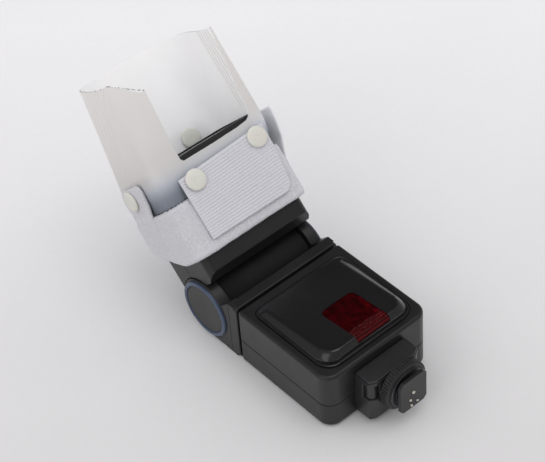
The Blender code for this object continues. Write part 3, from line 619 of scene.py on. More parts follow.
def shrink(outline, distance):
    """Moves an outline's edges inwards along its corner bisectors."""
    count = len(outline)
    area = sum(outline[i - 1][0] * outline[i][1] - outline[i][0] * outline[i - 1][1]
               for i in range(count))
    turn = 1.0 if area > 0 else -1.0
    out = []
    for i in range(count):
        point = Vector(outline[i])
        before = (point - Vector(outline[i - 1])).normalized()
        after = (Vector(outline[(i + 1) % count]) - point).normalized()
        normal = Vector((-before.y, before.x)) * turn
        bisector = (normal + Vector((-after.y, after.x)) * turn).normalized()
        out.append(tuple(point + bisector * (distance / max(0.35, bisector.dot(normal)))))
    return out


def ring(outline, level, axis="z"):
    """Places an outline in 3D at a level along the axis."""
    place = {"x": lambda a, b: (level, a, b), "y": lambda a, b: (a, level, b),
             "z": lambda a, b: (a, b, level)}[axis]
    return [place(a, b) for a, b in outline]


def orient(bm):
    bmesh.ops.recalc_face_normals(bm, faces=bm.faces)
    if bm.calc_volume(signed=True) < 0:
        bmesh.ops.reverse_faces(bm, faces=bm.faces)
    return bm


def loft(rings, closed=False):
    """Skins rings of equal count; closed joins the last to the first instead of capping."""
    bm = bmesh.new()
    verts = [[bm.verts.new(Vector(point) * MM) for point in points] for points in rings]
    count = len(rings[0])
    for i in range(len(verts) if closed else len(verts) - 1):
        low, high = verts[i], verts[(i + 1) % len(verts)]
        for k in range(count):
            after = (k + 1) % count
            bm.faces.new((low[k], low[after], high[after], high[k]))
    if not closed:
        bm.faces.new(verts[0])
        bm.faces.new(verts[-1])
    return orient(bm)


def prism(outline, axis, start, end):
    return loft([ring(outline, start, axis), ring(outline, end, axis)])


def round_prism(outline, axis, start, end, start_radius, end_radius):
    """Prism with rounded end edges; a start radius of 0 leaves that edge sharp."""
    side = 1.0 if end > start else -1.0
    rings = []
    if start_radius > 0:
        for angle in quarter(3):
            rings.append(ring(shrink(outline, start_radius * (1 - math.sin(angle))),
                              start + side * start_radius * (1 - math.cos(angle)), axis))
    else:
        rings.append(ring(outline, start, axis))
    for angle in quarter(3):
        rings.append(ring(shrink(outline, end_radius * (1 - math.cos(angle))),
                          end - side * end_radius * (1 - math.sin(angle)), axis))
    return loft(rings)


def box(x0, x1, y0, y1, z0, z1):
    return prism([(x0, y0), (x1, y0), (x1, y1), (x0, y1)], "z", z0, z1)


def turned(axis, center, profile, segments, hollow=True):
    """Revolves (radius, position) points; hollow joins the profile's ends, otherwise capped."""
    return loft([ring(circle(*center, radius, segments), position, axis)
                 for radius, position in profile], hollow)


def add_object(name, bm, place=None):
    if place is not None:
        bm.transform(place)
    mesh = bpy.data.meshes.new(name)
    bm.to_mesh(mesh)
    bm.free()
    ob = bpy.data.objects.new(name, mesh)
    scene.collection.objects.link(ob)
    return ob


def bake(ob):
    graph = bpy.context.evaluated_depsgraph_get()
    mesh = bpy.data.meshes.new_from_object(ob.evaluated_get(graph),
                                           preserve_all_data_layers=True, depsgraph=graph)
    old = ob.data
    ob.modifiers.clear()
    ob.data = mesh
    bpy.data.meshes.remove(old)
    mesh.name = ob.name


def boolean(ob, *tools, operation="DIFFERENCE", place=None):
    for bm in tools:
        tool = add_object("tmp_cut", bm, place)
        modifier = ob.modifiers.new("b", "BOOLEAN")
        modifier.operation, modifier.object, modifier.solver = operation, tool, "EXACT"
        bake(ob)
        bpy.data.objects.remove(tool, do_unlink=True)


def finish(ob, material, body, node=None, smooth=32, weighted=True):
    """Shades a piece and ties it to its body, material slot and the CAD node it replaces."""
    mesh = ob.data
    mesh.materials.clear()
    mesh.materials.append(material)
    mesh.shade_smooth()
    mesh.set_sharp_from_angle(angle=math.radians(smooth))
    if weighted:
        modifier = ob.modifiers.new("wn", "WEIGHTED_NORMAL")
        modifier.keep_sharp = True
        modifier.weight = 60
    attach(ob, body)
    if node:
        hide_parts(node)


# ------------------------------------------------------------------ casings
DOOR_X0, DOOR_X1, DOOR_Z0, DOOR_Z1 = -86.0, -30.0, -17.0, 13.8  # opening in the right side
KEY_X, KEY_PITCH = -49.0, 18.0
KEY_HALF_X, KEY_HALF_Y, KEY_RADIUS = 3.2, 5.6, 2.6  # openings
SWITCH_X, SWITCH_Y = -37.0, 14.0
CASING_SCREWS = ((-87.0, -30.0), (-31.0, 30.0))


def casing_ring(z, inset):
    """Casing outline: round at the foot end, almost square at the neck end."""
    foot, neck = max(8.0 - inset, 0.6), max(1.6 - inset, 0.5)
    outline = round_rect(NECK_END_X + inset, FOOT_END_X - inset, -HALF_WIDTH + inset,
                         HALF_WIDTH - inset, (foot, foot, neck, neck), 12)
    return ring(outline, z)


def casing(name, face_z, side, edge, inner_inset):
    """Hollow half from its rounded outer face to the parting line; side is +1 for the front."""
    rings = [casing_ring(face_z - side * edge + side * edge * math.sin(angle),
                         edge * (1 - math.cos(angle))) for angle in reversed(quarter(6))]
    for gap, inset in ((0.75, 0.0), (0.3, 0.14), (0.12, 0.5), (0.12, 2.0)):
        rings.append(casing_ring(PARTING_Z + side * gap, inset))
    rings.append(casing_ring(face_z - side * 2.0, inner_inset))
    return add_object(name, loft(rings))


def display_outline(inset, radius, steps=8):
    return round_rect(-84.0 + inset, -58.0 - inset, -22.0 + inset, 22.0 - inset, radius, steps)


def back_opening(outline, lip):
    """Cutter for an opening in the back panel with a small chamfered lip."""
    return loft([ring(shrink(outline, -lip - 1.0), BACK_Z - 1.0), ring(outline, BACK_Z + lip),
                 ring(outline, BACK_Z + 4.0)])


def hood_groove():
    """Cutter for the groove that follows the hood's base."""
    outer, inner = [hood_base(-grow, tuple(radius + grow for radius in HOOD_RADII))
                    for grow in (0.9, -0.5)]
    return loft([ring(shrink(outer, -0.35), FRONT_Z + 0.6), ring(outer, FRONT_Z - 0.05),
                 ring(shrink(outer, 0.3), FRONT_Z - 0.8), ring(inner, FRONT_Z - 0.8),
                 ring(inner, FRONT_Z + 0.6)], True)


def build_casings():
    front = casing("front_casing", FRONT_Z, side=1, edge=2.0, inner_inset=2.0)
    back = casing("back_casing", BACK_Z, side=-1, edge=2.7, inner_inset=2.6)
    door = round_rect(DOOR_X0, DOOR_X1, DOOR_Z0, DOOR_Z1, 1.4, 5)
    for shell in (front, back):
        boolean(shell, prism(circle(0, AXIS_Z, 12.5, 64), "x", -96.0, -88.0),
                prism(door, "y", HALF_WIDTH - 3.2, HALF_WIDTH + 2))
    # opening under the hood, hole in the foot end, groove round the hood
    boolean(front, prism(round_rect(-66, -34, -13, 19, 3, 6), "z", FRONT_Z - 4, FRONT_Z + 2),
            prism(circle(0, 0, 3.5, 24), "x", -28, -21), hood_groove())

    boolean(back, back_opening(display_outline(0.0, 2.0, 6), 0.35))
    for y in (-KEY_PITCH, 0.0, KEY_PITCH):
        key = round_rect_at(KEY_X, y, KEY_HALF_X, KEY_HALF_Y, KEY_RADIUS)
        boolean(back, back_opening(key, 0.25))
    boolean(back, back_opening(round_rect_at(SWITCH_X, SWITCH_Y, 2.6, 7.5, 2.0), 0.25))
    # fine groove round the keys
    outer = round_rect_at(KEY_X, 0.0, 6.0, 26.5, 3.0)
    inner = shrink(outer, 0.55)
    boolean(back, loft([ring(outer, BACK_Z - 0.5), ring(outer, BACK_Z + 0.28),
                        ring(inner, BACK_Z + 0.28), ring(inner, BACK_Z - 0.5)], True))
    for spot in CASING_SCREWS:
        sink = [(2.1, BACK_Z + 1.2), (2.1, BACK_Z + 0.2), (2.6, BACK_Z - 1.0)]
        boolean(back, turned("z", spot, sink, 32, False))
    finish(front, BODY_BLACK, "flash_body", "front_shell")
    finish(back, BODY_BLACK, "flash_body", "back_shell")


# ------------------------------------------------------------------ hood and red window
HOOD_X0, HOOD_X1, HOOD_HALF = -86.2, -28.4, 31.0
HOOD_RADII = (9.0, 9.0, 5.0, 5.0)
HOOD_TOP_X1, HOOD_TOP_HALF = -32.2, 25.4
HOOD_LOW, HOOD_HIGH = 0.9, 6.5  # height over the ledge at the neck end and the foot end
HOOD_BASE_Z = FRONT_Z + CLEARANCE
# side contour as (share of the way in, share of the height), base to top
HOOD_SIDE = [(0.0, 0.0), (0.1, 0.1), (0.28, 0.34), (0.42, 0.5), (0.6, 0.7), (0.74, 0.83),
             (0.86, 0.915), (0.97, 0.965), (1.1, 0.99), (1.3, 1.0)]
WINDOW_X0, WINDOW_X1, WINDOW_Y0, WINDOW_Y1 = -59.3, -29.9, -8.5, 14.5


def hood_z(x):
    """Height of the hood's sloping top."""
    share = (x - HOOD_X0) / (HOOD_TOP_X1 - HOOD_X0)
    return FRONT_Z + HOOD_LOW + (HOOD_HIGH - HOOD_LOW) * share


def hood_base(inset, radii=HOOD_RADII):
    return round_rect(HOOD_X0 + inset, HOOD_X1 - inset, -HOOD_HALF + inset, HOOD_HALF - inset,
                      radii, 12)


def hood_top(inset):
    return round_rect(HOOD_X0 + 1.2 + inset, HOOD_TOP_X1 - inset, -HOOD_TOP_HALF + inset,
                      HOOD_TOP_HALF - inset, (7.5, 7.5, 4, 4), 12)


def build_hood():
    rings = []
    for inward, height in reversed(HOOD_SIDE[2:]):
        points = []
        for (xa, ya), (xb, yb) in zip(hood_base(0.0), hood_top(0.0)):
            x, y = lerp(xa, xb, inward), lerp(ya, yb, inward)
            edge_x = min(lerp(xa, xb, min(inward, 1.0)), HOOD_TOP_X1)
            z = HOOD_BASE_Z + height * (hood_z(edge_x) - HOOD_BASE_Z)
            points.append((x, y, min(z, hood_z(x)) if inward > 1 else z))
        rings.append(points)
    # moulded lip at the base as (inset, height), then the underside
    for inset, height in ((1.25, 0.30), (0.95, 0.22), (0.8, 0.42), (0.55, 0.5), (0.25, 0.46),
                          (0.05, 0.3), (0.0, 0.0), (1.6, 0.0)):
        rings.append(ring(hood_base(inset), HOOD_BASE_Z + height))
    rings.append([(x, y, max(HOOD_BASE_Z + 0.1, hood_z(x) - 1.7)) for x, y in hood_top(2.2)])
    hood = add_object("front_hood", loft(rings))
    opening = round_rect(WINDOW_X0, WINDOW_X1, WINDOW_Y0, WINDOW_Y1, (0.6, 0.6, 3.6, 3.6))
    boolean(hood, prism(opening, "z", FRONT_Z - 1, FRONT_Z + 12))
    finish(hood, HOOD_BLACK, "flash_body", "front_hood_panel", 40)


def hood_surface_z(x):
    """Height of the hood's surface along its middle, down its foot end."""
    rise = hood_z(HOOD_TOP_X1) - HOOD_BASE_Z
    points = sorted((lerp(HOOD_X1, HOOD_TOP_X1, inward), HOOD_BASE_Z + height * rise)
                    for inward, height in HOOD_SIDE)
    if x <= points[0][0]:
        return hood_z(x)
    return min(interpolate(x, points), hood_z(x))


def build_red_window():
    gap, steps = 0.22, 150
    x0, x1 = WINDOW_X0 + gap, WINDOW_X1 - 0.25
    y0, y1 = WINDOW_Y0 + gap, WINDOW_Y1 - gap
    outer, inner = [], []
    for k in range(steps + 1):
        x = lerp(x0, x1, k / steps)
        surface = hood_surface_z(x)
        rib = 0.0
        if -37.6 < x < -32.0:  # rounded ribs near the foot end
            phase = ((x + 37.6) / 1.25) % 1.0
            rib = 0.28 * max(0.0, 1 - (2.4 * (phase - 0.5)) ** 2)
        outer.append((x, surface - 0.3 + rib))
        phase = ((x - x0) / 1.5) % 1.0  # ridges on the inside
        ridge = 0.32 * (1 - abs(2 * phase - 1))
        inner.append((x, max(surface - 1.35 + ridge, FRONT_Z + 0.35)))
    window = add_object("red_window", prism(outer + inner[::-1], "y", y0, y1))
    outline = round_rect(x0, x1, y0, y1, (0.5, 0.5, 3.4, 3.4))
    boolean(window, prism(outline, "z", FRONT_Z - 2, FRONT_Z + 14), operation="INTERSECT")
    finish(window, WINDOW_RED, "flash_body", "af_assist_window", 25)


# ------------------------------------------------------------------ back panel
def build_display():
    glass = add_object("display_window", round_prism(display_outline(0.2, 1.8), "z",
                                                     BACK_Z + 1.7, BACK_Z + 0.3, 0.0, 0.3))
    finish(glass, DISPLAY_GLASS, "flash_body", "lcd_window")
    outer, inner = display_outline(0.4, 1.6), display_outline(3.4, 1.0)
    mask = add_object("display_mask", loft([
        ring(outer, BACK_Z + 1.8), ring(outer, BACK_Z + 2.3),
        ring(inner, BACK_Z + 2.3), ring(inner, BACK_Z + 1.8)], True))
    finish(mask, MATTE_BLACK, "flash_body")


def build_keys():
    """Three keys with shallow dished faces."""
    for i, key in enumerate(("mode", "zoom", "test")):
        outline = round_rect_at(KEY_X, KEY_PITCH * (i - 1), KEY_HALF_X - CLEARANCE,
                                KEY_HALF_Y - CLEARANCE, KEY_RADIUS - CLEARANCE, 10)
        rings = [ring(outline, BACK_Z + 2.0), ring(outline, BACK_Z + 0.5)]
        for angle in quarter(4)[1:]:
            rings.append(ring(shrink(outline, 0.35 * (1 - math.cos(angle))),
                              BACK_Z + 0.5 - 0.35 * math.sin(angle)))
        for inset, depth in ((0.8, 0.17), (1.5, 0.32), (2.1, 0.4)):
            rings.append(ring(shrink(outline, inset), BACK_Z + depth))
        cap = add_object(key + "_button_cap", loft(rings))
        finish(cap, KEY_BLACK, key + "_key", key + "_button", 50)


def build_power_switch():
    outline = round_rect(SWITCH_X - 2.3, SWITCH_X + 2.3, SWITCH_Y - 7.2, SWITCH_Y - 1.2, 1.5)
    knob = add_object("power_switch_knob",
                      round_prism(outline, "z", BACK_Z + 2.1, BACK_Z - 0.1, 0.0, 0.35))
    for k in range(4):
        y = SWITCH_Y - 6.3 + 1.25 * k
        boolean(knob, box(SWITCH_X - 3, SWITCH_X + 3, y, y + 0.55, BACK_Z - 1.0, BACK_Z + 0.3))
    finish(knob, MATTE_BLACK, "switch_slider", "power_switch")


def build_casing_screws():
    """Cross-slotted heads."""
    profile = [(radius, BACK_Z + depth) for radius, depth in (
        (1.85, 1.15), (1.85, 0.75), (1.6, 0.5), (1.0, 0.36), (0.05, 0.32))]
    for i, (x, y) in enumerate(CASING_SCREWS, 1):
        head = add_object("casing_screw_head_%d" % i, turned("z", (x, y), profile, 40, False))
        for half_x, half_y in ((1.0, 0.2), (0.2, 1.0)):
            boolean(head, box(x - half_x, x + half_x, y - half_y, y + half_y,
                              BACK_Z, BACK_Z + 0.75))
        finish(head, STEEL, "flash_body", "casing_screw_%d" % i)


# ------------------------------------------------------------------ battery door and latch
def build_battery_door():
    outline = round_rect(DOOR_X0 + CLEARANCE, DOOR_X1 - CLEARANCE, DOOR_Z0 + CLEARANCE, 12.7,
                         1.2, 6)
    door = add_object("battery_door_panel",
                      round_prism(outline, "y", HALF_WIDTH - 2.0, HALF_WIDTH, 0.25, 0.4))
    boolean(door, prism(round_rect(-64.0, -52.0, -13.3, -7.7, 0.8, 4), "y",
                        HALF_WIDTH - 4, HALF_WIDTH + 2))
    arrow = fillet([(-50.0, -12.4), (-46.2, -10.5), (-50.0, -8.6)], 0.4, 3)
    boolean(door, prism(arrow, "y", HALF_WIDTH - 0.35, HALF_WIDTH + 1))
    for k in range(7):
        x = -80.0 + 2.4 * k
        groove = round_rect(x - 0.55, x + 0.55, -13.5, -2.0, 0.5, 4)
        boolean(door, prism(groove, "y", HALF_WIDTH - 0.45, HALF_WIDTH + 1))
    finish(door, BODY_BLACK, "battery_cover", "battery_door")


def build_door_latch():
    outline = round_rect(-63.6, -55.7, -12.9, -8.1, 0.7, 5)
    latch = add_object("door_latch_slider",
                       round_prism(outline, "y", HALF_WIDTH - 1.8, HALF_WIDTH - 0.1, 0.0, 0.3))
    for k in range(5):
        x = -62.4 + 1.4 * k
        boolean(latch, box(x - 0.3, x + 0.3, HALF_WIDTH - 0.5, HALF_WIDTH + 1, -12.3, -8.7))
    finish(latch, MATTE_BLACK, "cover_latch", "door_latch")


# ------------------------------------------------------------------ shoe module, ring and foot
MODULE_X0, MODULE_X1, MODULE_HALF = FOOT_END_X + 0.05, -11.1, 17.8
# contact pins: offset from the foot's centre in y and z, radius
CONTACT_PINS = [(0.0, 0.0, 1.1), (-2.3, -4.5, 0.9), (2.6, -8.2, 0.9), (-1.6, -8.9, 0.9)]


def chamfered(shoulder_x, end_half, radius):
    """Module outline whose corners are cut off from shoulder_x to the foot side."""
    half = [(MODULE_X0, -MODULE_HALF), (shoulder_x, -MODULE_HALF), (MODULE_X1, -end_half)]
    return mirrored(half), dict.fromkeys(range(1, 5), radius)


def build_shoe_module():
    lower = fillet(*chamfered(-13.0, 14.6, 1.0), 4)
    module = add_object("shoe_module_block", round_prism(lower, "z", -18.2, -3.3, 0.9, 0.5))
    upper = mirrored([(MODULE_X0, -MODULE_HALF), (-17.6, -MODULE_HALF), (-17.0, -15.0),
                      (-14.6, -12.0), (MODULE_X1, -11.6)])
    boolean(module, prism(fillet(upper, 0.5, 3), "z", -5.0, 8.6), operation="UNION")
    for side in (-1, 1):
        post = [(2.2, -4.0), (2.9, -2.6), (3.0, -1.9), (3.0, 8.0)]
        boolean(module, turned("z", (-14.9, side * 14.2), post, 48, False), operation="UNION")
    rim = fillet(*chamfered(-13.6, 13.6, 0.6), 3)
    boolean(module, round_prism(rim, "z", 6.4, 8.6, 0.4, 0.2), operation="UNION")
    finish(module, MODULE_BLACK, "flash_body", "shoe_module")

    cover = mirrored([(MODULE_X0 + 0.2, -17.3), (-13.8, -17.3), (MODULE_X1 - 0.2, -13.3)])
    cover = fillet(cover, {0: 0.5, 1: 0.8, 2: 0.8, 3: 0.8, 4: 0.8, 5: 0.5}, 4)
    plate = add_object("shoe_module_cover", round_prism(cover, "z", 8.75, 10.3, 0.2, 0.45))
    finish(plate, MODULE_BLACK, "flash_body", "shoe_module_plate")


def knurled_ring(radius, x, depth):
    """Circle with 54 ridges of six points, half of each ridge cut back by depth."""
    count = 54 * 6
    points = []
    for k in range(count):
        reach = radius - (0.0 if k % 6 < 3 else depth)
        angle = 2 * math.pi * k / count
        points.append((x, FOOT_Y + reach * math.cos(angle), FOOT_Z + reach * math.sin(angle)))
    return points


def build_lock_ring():
    # radius, x, knurl depth
    profile = [
        (6.5, -10.8, 0), (12.9, -10.8, 0), (13.2, -10.6, 0), (13.3, -10.1, 0), (14.15, -9.9, 0),
        (14.4, -9.6, 0.75), (14.4, -6.2, 0.75), (14.15, -5.9, 0.3), (13.2, -5.6, 0),
        (12.9, -5.2, 0), (11.8, -5.05, 0), (11.6, -4.8, 0), (6.5, -4.8, 0),
    ]
    lock = add_object("lock_ring_knurled", loft([knurled_ring(*row) for row in profile], True))
    finish(lock, MATTE_BLACK, "locking_ring", "lock_ring", 40)


def build_clamp():
    # radius, x
    profile = [(6.5, -4.5), (11.5, -4.5), (11.8, -4.35), (11.8, -4.05), (11.5, -3.9),
               (10.6, -3.9), (10.4, -4.05), (8.6, -4.05), (8.4, -3.9), (6.5, -3.9)]
    disc = add_object("clamp_disc", turned("x", (FOOT_Y, FOOT_Z), profile, 96))
    finish(disc, CLAMP_METAL, "clamp", "clamp_plate")


def build_foot():
    corners = mirrored([(-9.3, -8.6), (-7.2, -11.0), (7.2, -11.0), (9.3, -8.6)])
    outline = [(FOOT_Y + a, FOOT_Z + b) for a, b in fillet(corners, 0.7, 4)]
    foot = add_object("shoe_foot_block", round_prism(outline, "x", -2.0, 0.0, 0.25, 0.35))
    boolean(foot, prism(circle(FOOT_Y, FOOT_Z, 6.1, 64), "x", MODULE_X1 + 0.1, -1.0),
            operation="UNION")
    for y, z, radius in CONTACT_PINS:
        well = [(radius + 0.2, -2.6), (radius + 0.2, -0.25), (radius + 0.75, 0.3),
                (radius + 0.75, 1.0)]
        boolean(foot, turned("x", (FOOT_Y + y, FOOT_Z + z), well, 40, False))
    finish(foot, BODY_BLACK, "flash_body", "shoe_foot")


def build_contact_pins():
    for i, (y, z, radius) in enumerate(CONTACT_PINS, 1):
        profile = [(radius, -1.9), (radius, -0.1)]
        profile += [(radius * math.cos(angle), -0.1 + 0.7 * math.sin(angle))
                    for angle in quarter(6)[1:-1]]
        profile.append((0.06, 0.6))
        pin = add_object("contact_%d" % i,
                         turned("x", (FOOT_Y + y, FOOT_Z + z), profile, 40, False))
        finish(pin, GOLD, "contact_pins", "contact_pin_%d" % i, 60)


# ------------------------------------------------------------------ neck
def ear_outline():
    """Side ear in x and z, round about the tilt axis."""
    points = [(-96.2, 16.3), (-100.6, 16.45)]
    for k in range(41):
        angle = math.radians(42.7 + (270 - 42.7) * k / 40)
        points.append((AXIS_X + 18.3 * math.cos(angle), AXIS_Z + 18.3 * math.sin(angle)))
    return points + [(-96.2, BACK_Z + 0.4)]


def build_neck():
    plate = round_rect(-HALF_WIDTH, HALF_WIDTH, BACK_Z + 0.3, 16.7, 3.0, 10)
    yoke = add_object("neck_frame", round_prism(plate, "x", -100.4, -94.0, 0.5, 0.7))
    axis = (AXIS_X, AXIS_Z)
    for side in (-1, 1):
        boolean(yoke, round_prism(ear_outline(), "y", side * 29.3, side * HALF_WIDTH, 0.4, 0.8),
                operation="UNION")
    for side in (-1, 1):
        # a groove round the pivot, and one where the ear meets the neck plate
        groove = [(17.45, side * 35.75), (17.8, side * 35.75), (17.8, side * 37.0),
                  (17.45, side * 37.0)]
        boolean(yoke, turned("y", axis, groove, 96),
                box(-100.75, -100.4, side * 35.65, side * 37.0, BACK_Z - 1, 17.5))
    boolean(yoke, prism(circle(*axis, 3.3, 32), "y", -40, 40),
            prism(circle(0, AXIS_Z, 6.0, 40), "x", -102, -92))
    finish(yoke, BODY_BLACK, "neck", "neck_yoke")


def build_pivots():
    # radius, distance from the middle plane
    trim_profile = [
        (14.55, 35.9), (14.6, 36.9), (14.75, 37.25), (15.0, 37.35), (15.3, 37.3), (15.42, 37.12),
        (15.55, 37.12), (15.7, 37.3), (16.2, 37.28), (16.7, 37.05), (16.95, 36.6), (17.0, 35.9),
    ]
    disc_profile = [(14.5, 35.9), (14.5, 36.6), (14.3, 36.85), (13.6, 36.98), (12.6, 36.92),
                    (9.0, 36.86), (4.0, 36.82), (0.1, 36.8)]
    for label, side in (("left", -1), ("right", 1)):
        for name, profile, hollow, material, slot, node in (
                ("pivot_trim_", trim_profile, True, RING_BLUE, "blue_ring", "pivot_ring_"),
                ("pivot_disc_", disc_profile, False, DISC_GREY, "matte_black", "pivot_cap_")):
            placed = [(radius, side * y) for radius, y in profile]
            piece = add_object(name + label,
                               turned("y", (AXIS_X, AXIS_Z), placed, 120, hollow))
            finish(piece, material, "neck", node + label, 60)


# ------------------------------------------------------------------ head
HEAD_WALL, HEAD_END, HEAD_HALF = 1.8, 78.0, 35.0
HEAD_RISE0, HEAD_RISE1 = -16.0, 27.0
HINGE_RADIUS = 18.9


def hinge_arc(start, end):
    """(run, rise) points about the tilt axis between two angles in degrees."""
    angles = [math.radians(start + (end - start) * k / 24) for k in range(25)]
    return [(HINGE_RADIUS * math.cos(angle), HINGE_RADIUS * math.sin(angle))
            for angle in angles]


def head_profile(points):
    """(run, rise) points as an outline in local x and z."""
    return [(-run, rise) for run, rise in points]


def head_bar(inset, start, end, steps, cap):
    """Rounded bar of the head's section from start to end, with a rounded rim at end."""
    spans = [(start, 0.0), (end - cap, 0.0)]
    spans += [(end - cap + cap * math.sin(angle), cap * (1 - math.cos(angle)))
              for angle in quarter(4)[1:]]
    rings = []
    for run, extra in spans:
        far = inset + extra
        section = round_rect(-HEAD_HALF + far, HEAD_HALF - far, HEAD_RISE0 + far,
                             HEAD_RISE1 - far, 5.0 - inset * 0.9, steps)
        rings.append(ring(section, -run, "x"))
    return loft(rings)


def build_head_casings():
    beyond = HEAD_END + 2
    split_rise, half_gap = 2.5, 0.15
    low, high = split_rise - half_gap, split_rise + half_gap
    low_angle = math.degrees(math.asin(low / HINGE_RADIUS))
    high_angle = math.degrees(math.asin(high / HINGE_RADIUS))
    front = [(beyond, high), (beyond, HEAD_RISE1), (16.8, HEAD_RISE1), (12.0, 20.4)]
    front = fillet(front + hinge_arc(49.7, high_angle), {2: 1.3, 3: 0.7}, 6)
    rear = [(beyond, low)] + hinge_arc(low_angle, -37.8)
    rear += [(16.6, HEAD_RISE0), (beyond, HEAD_RISE0)]
    for half, profile in (("front", front), ("rear", rear)):
        shell = add_object("head_%s_casing" % half,
                           prism(head_profile(profile), "y", -HEAD_HALF - 1, HEAD_HALF + 1), HEAD)
        boolean(shell, head_bar(0.0, 0.0, HEAD_END, 10, 0.6), operation="INTERSECT", place=HEAD)
        boolean(shell, head_bar(HEAD_WALL, 22.0, 95.0, 8, 0.01),
                box(-26, -10, -20.0, 20.0, -7.0, 12.0), place=HEAD)
        finish(shell, BODY_BLACK, "head", "head_%s_shell" % half)


def build_hinge_drum():
    profile = [(3.3, -28.9), (14.8, -28.9), (15.3, -28.7), (15.6, -28.2),
               (15.6, 28.2), (15.3, 28.7), (14.8, 28.9), (3.3, 28.9)]
    drum = add_object("head_hinge_drum", turned("y", (0, 0), profile, 96), HEAD)
    boolean(drum, box(-24.5, -13, -19.5, 19.5, -6.5, 11.5), operation="UNION", place=HEAD)
    finish(drum, DRUM_BLACK_SHADED, "head", "head_hinge_barrel")


def build_lens():
    """Panel with 30 saw teeth on its outer face, deeper away from the middle."""
    low, high = HEAD_RISE0 + HEAD_WALL + 0.4, HEAD_RISE1 - HEAD_WALL - 0.4
    face, back, half_width, teeth = HEAD_END - 1.0, HEAD_END - 3.0, 32.8, 30
    points = [(back, low)]
    for k in range(teeth):
        start, end = lerp(low, high, k / teeth), lerp(low, high, (k + 1) / teeth)
        from_middle = abs((k + 0.5) / teeth - 0.5)
        points.append((face, start))
        points.append((face - 0.5 * clamp(from_middle * 2 + 0.3), lerp(start, end, 0.85)))
    points += [(face, high), (back, high)]
    lens = add_object("fresnel_panel", prism(head_profile(points), "y", -half_width, half_width),
                      HEAD)
    outline = round_rect(-half_width, half_width, low, high, 3.0, 6)
    boolean(lens, prism(outline, "x", -HEAD_END - 2, -HEAD_END + 8), operation="INTERSECT",
            place=HEAD)
    finish(lens, LENS_CLEAR, "head", "fresnel_lens", 20)


def build_flash_tube():
    profile = [(0.3, -23.2), (1.2, -22.6), (2.0, -21.6), (2.0, 21.6), (1.2, 22.6), (0.3, 23.2)]
    tube = add_object("flash_tube_bar", turned("y", (-48.0, 4.5), profile, 40, False), HEAD)
    finish(tube, TUBE_GLASS, "zoom_carriage", "flash_tube", 50)


# ------------------------------------------------------------------ diffuser sheet
STRAP_TOP = 57.0  # run of the strap's top edge
FLARE_END, SHEET_END = 74.0, 136.5
SHEET_THICKNESS = 0.6
# steps in the straight sides and in the corners, from the high-y low-rise corner round
SIDE_STEPS, CORNER_STEPS = (100, 60, 60, 64), (14, 14, 90, 70)


def on_diffuser(ob, material, node=None, smooth=80):
    finish(ob, material, "diffuser", node, smooth, weighted=False)


def sheet_size(run):
    """y and rise limits and corner radii: flares off the head, then grows rounder."""
    flare = ease((run - STRAP_TOP + 3) / (FLARE_END - STRAP_TOP + 3))
    share = max(0.0, (run - FLARE_END) / (SHEET_END - FLARE_END))
    y0, y1 = lerp(lerp(-35.5, -36.6, flare), -32.9, share), lerp(35.5, 38.7, flare)
    rise0 = lerp(lerp(-18.3, -18.9, flare), -17.4, share)
    rise1 = lerp(lerp(27.5, 30.6, flare), 31.4, share)
    bend = share ** 0.9
    radii = (lerp(4.0 + 1.5 * flare, 20.0, bend), 4.0 + 0.5 * flare, lerp(4, 18, bend),
             lerp(4, 23, bend))
    return y0, y1, rise0, rise1, radii


def crease_line(position, sharpness):
    """1 on a crease and 0 between; the five creases are at positions 0 to 4."""
    nearest = round(position)
    return max(0.0, 1 - abs(position - nearest) * sharpness) if 0 <= nearest < 5 else 0.0


def crease_at(run, y, rise):
    """Strength of the crease lines: (left wall, right wall)."""
    left = right = 0.0
    if y < -14 and run > 80:
        left = crease_line((rise + 12.5 - (run - 91.0) * 0.486) / 4.4, 7.0)
        left *= ease((run - 76) / 10)
    if y > 30 and run > 76:
        right = crease_line((rise - 12.0) / 2.8, 4.0) * ease((run - 79) / 8)
    return left, right


def sheet_section(run, offset):
    """Closed (y, rise) section; every level has the same number of points."""
    *limits, radii = sheet_size(run)
    arcs = corner_arcs(*limits, radii, CORNER_STEPS)
    points = []
    for i, arc in enumerate(arcs):
        points += arc
        y, rise, normal_y, normal_rise = arc[-1]
        after = arcs[(i + 1) % 4][0]
        for k in range(1, SIDE_STEPS[i]):
            share = k / SIDE_STEPS[i]
            points.append((lerp(y, after[0], share), lerp(rise, after[1], share),
                           normal_y, normal_rise))
    section = []
    for y, rise, normal_y, normal_rise in points:
        # gentle waviness, and creases that dent the left wall and lift the right one
        waves = 0.35 * fractal(y * 0.6, rise * 0.6, run * 0.35, 0.05, 2) * ease((run - 62) / 20)
        left, right = crease_at(run, y, rise)
        out = offset + waves + (0.3 * right - 0.3 * left)
        section.append((y + normal_y * out, rise + normal_rise * out))
    return section


def sheet_top(y, rise):
    """Run of the free, roughly cut edge."""
    # (y, run) along the back wall and along the front wall
    back = interpolate(y, [(-38, 134.6), (-30, 135.4), (5, 136.9), (30, 136.2), (39, 134.8)])
    front = interpolate(y, [(-38, 129.6), (-30, 128.5), (-26, 124.8), (-21, 120.5),
                            (-15, 116.8), (0, 117.0), (30, 127.0), (40, 128.6)])
    rough = 0.28 * fractal(y, rise, 3.0, 0.5, 3) * (1.6 if (rise > 8 and y < 0) else 0.7)
    return lerp(back, front, ease((rise + 14.0) / 40.0)) + rough


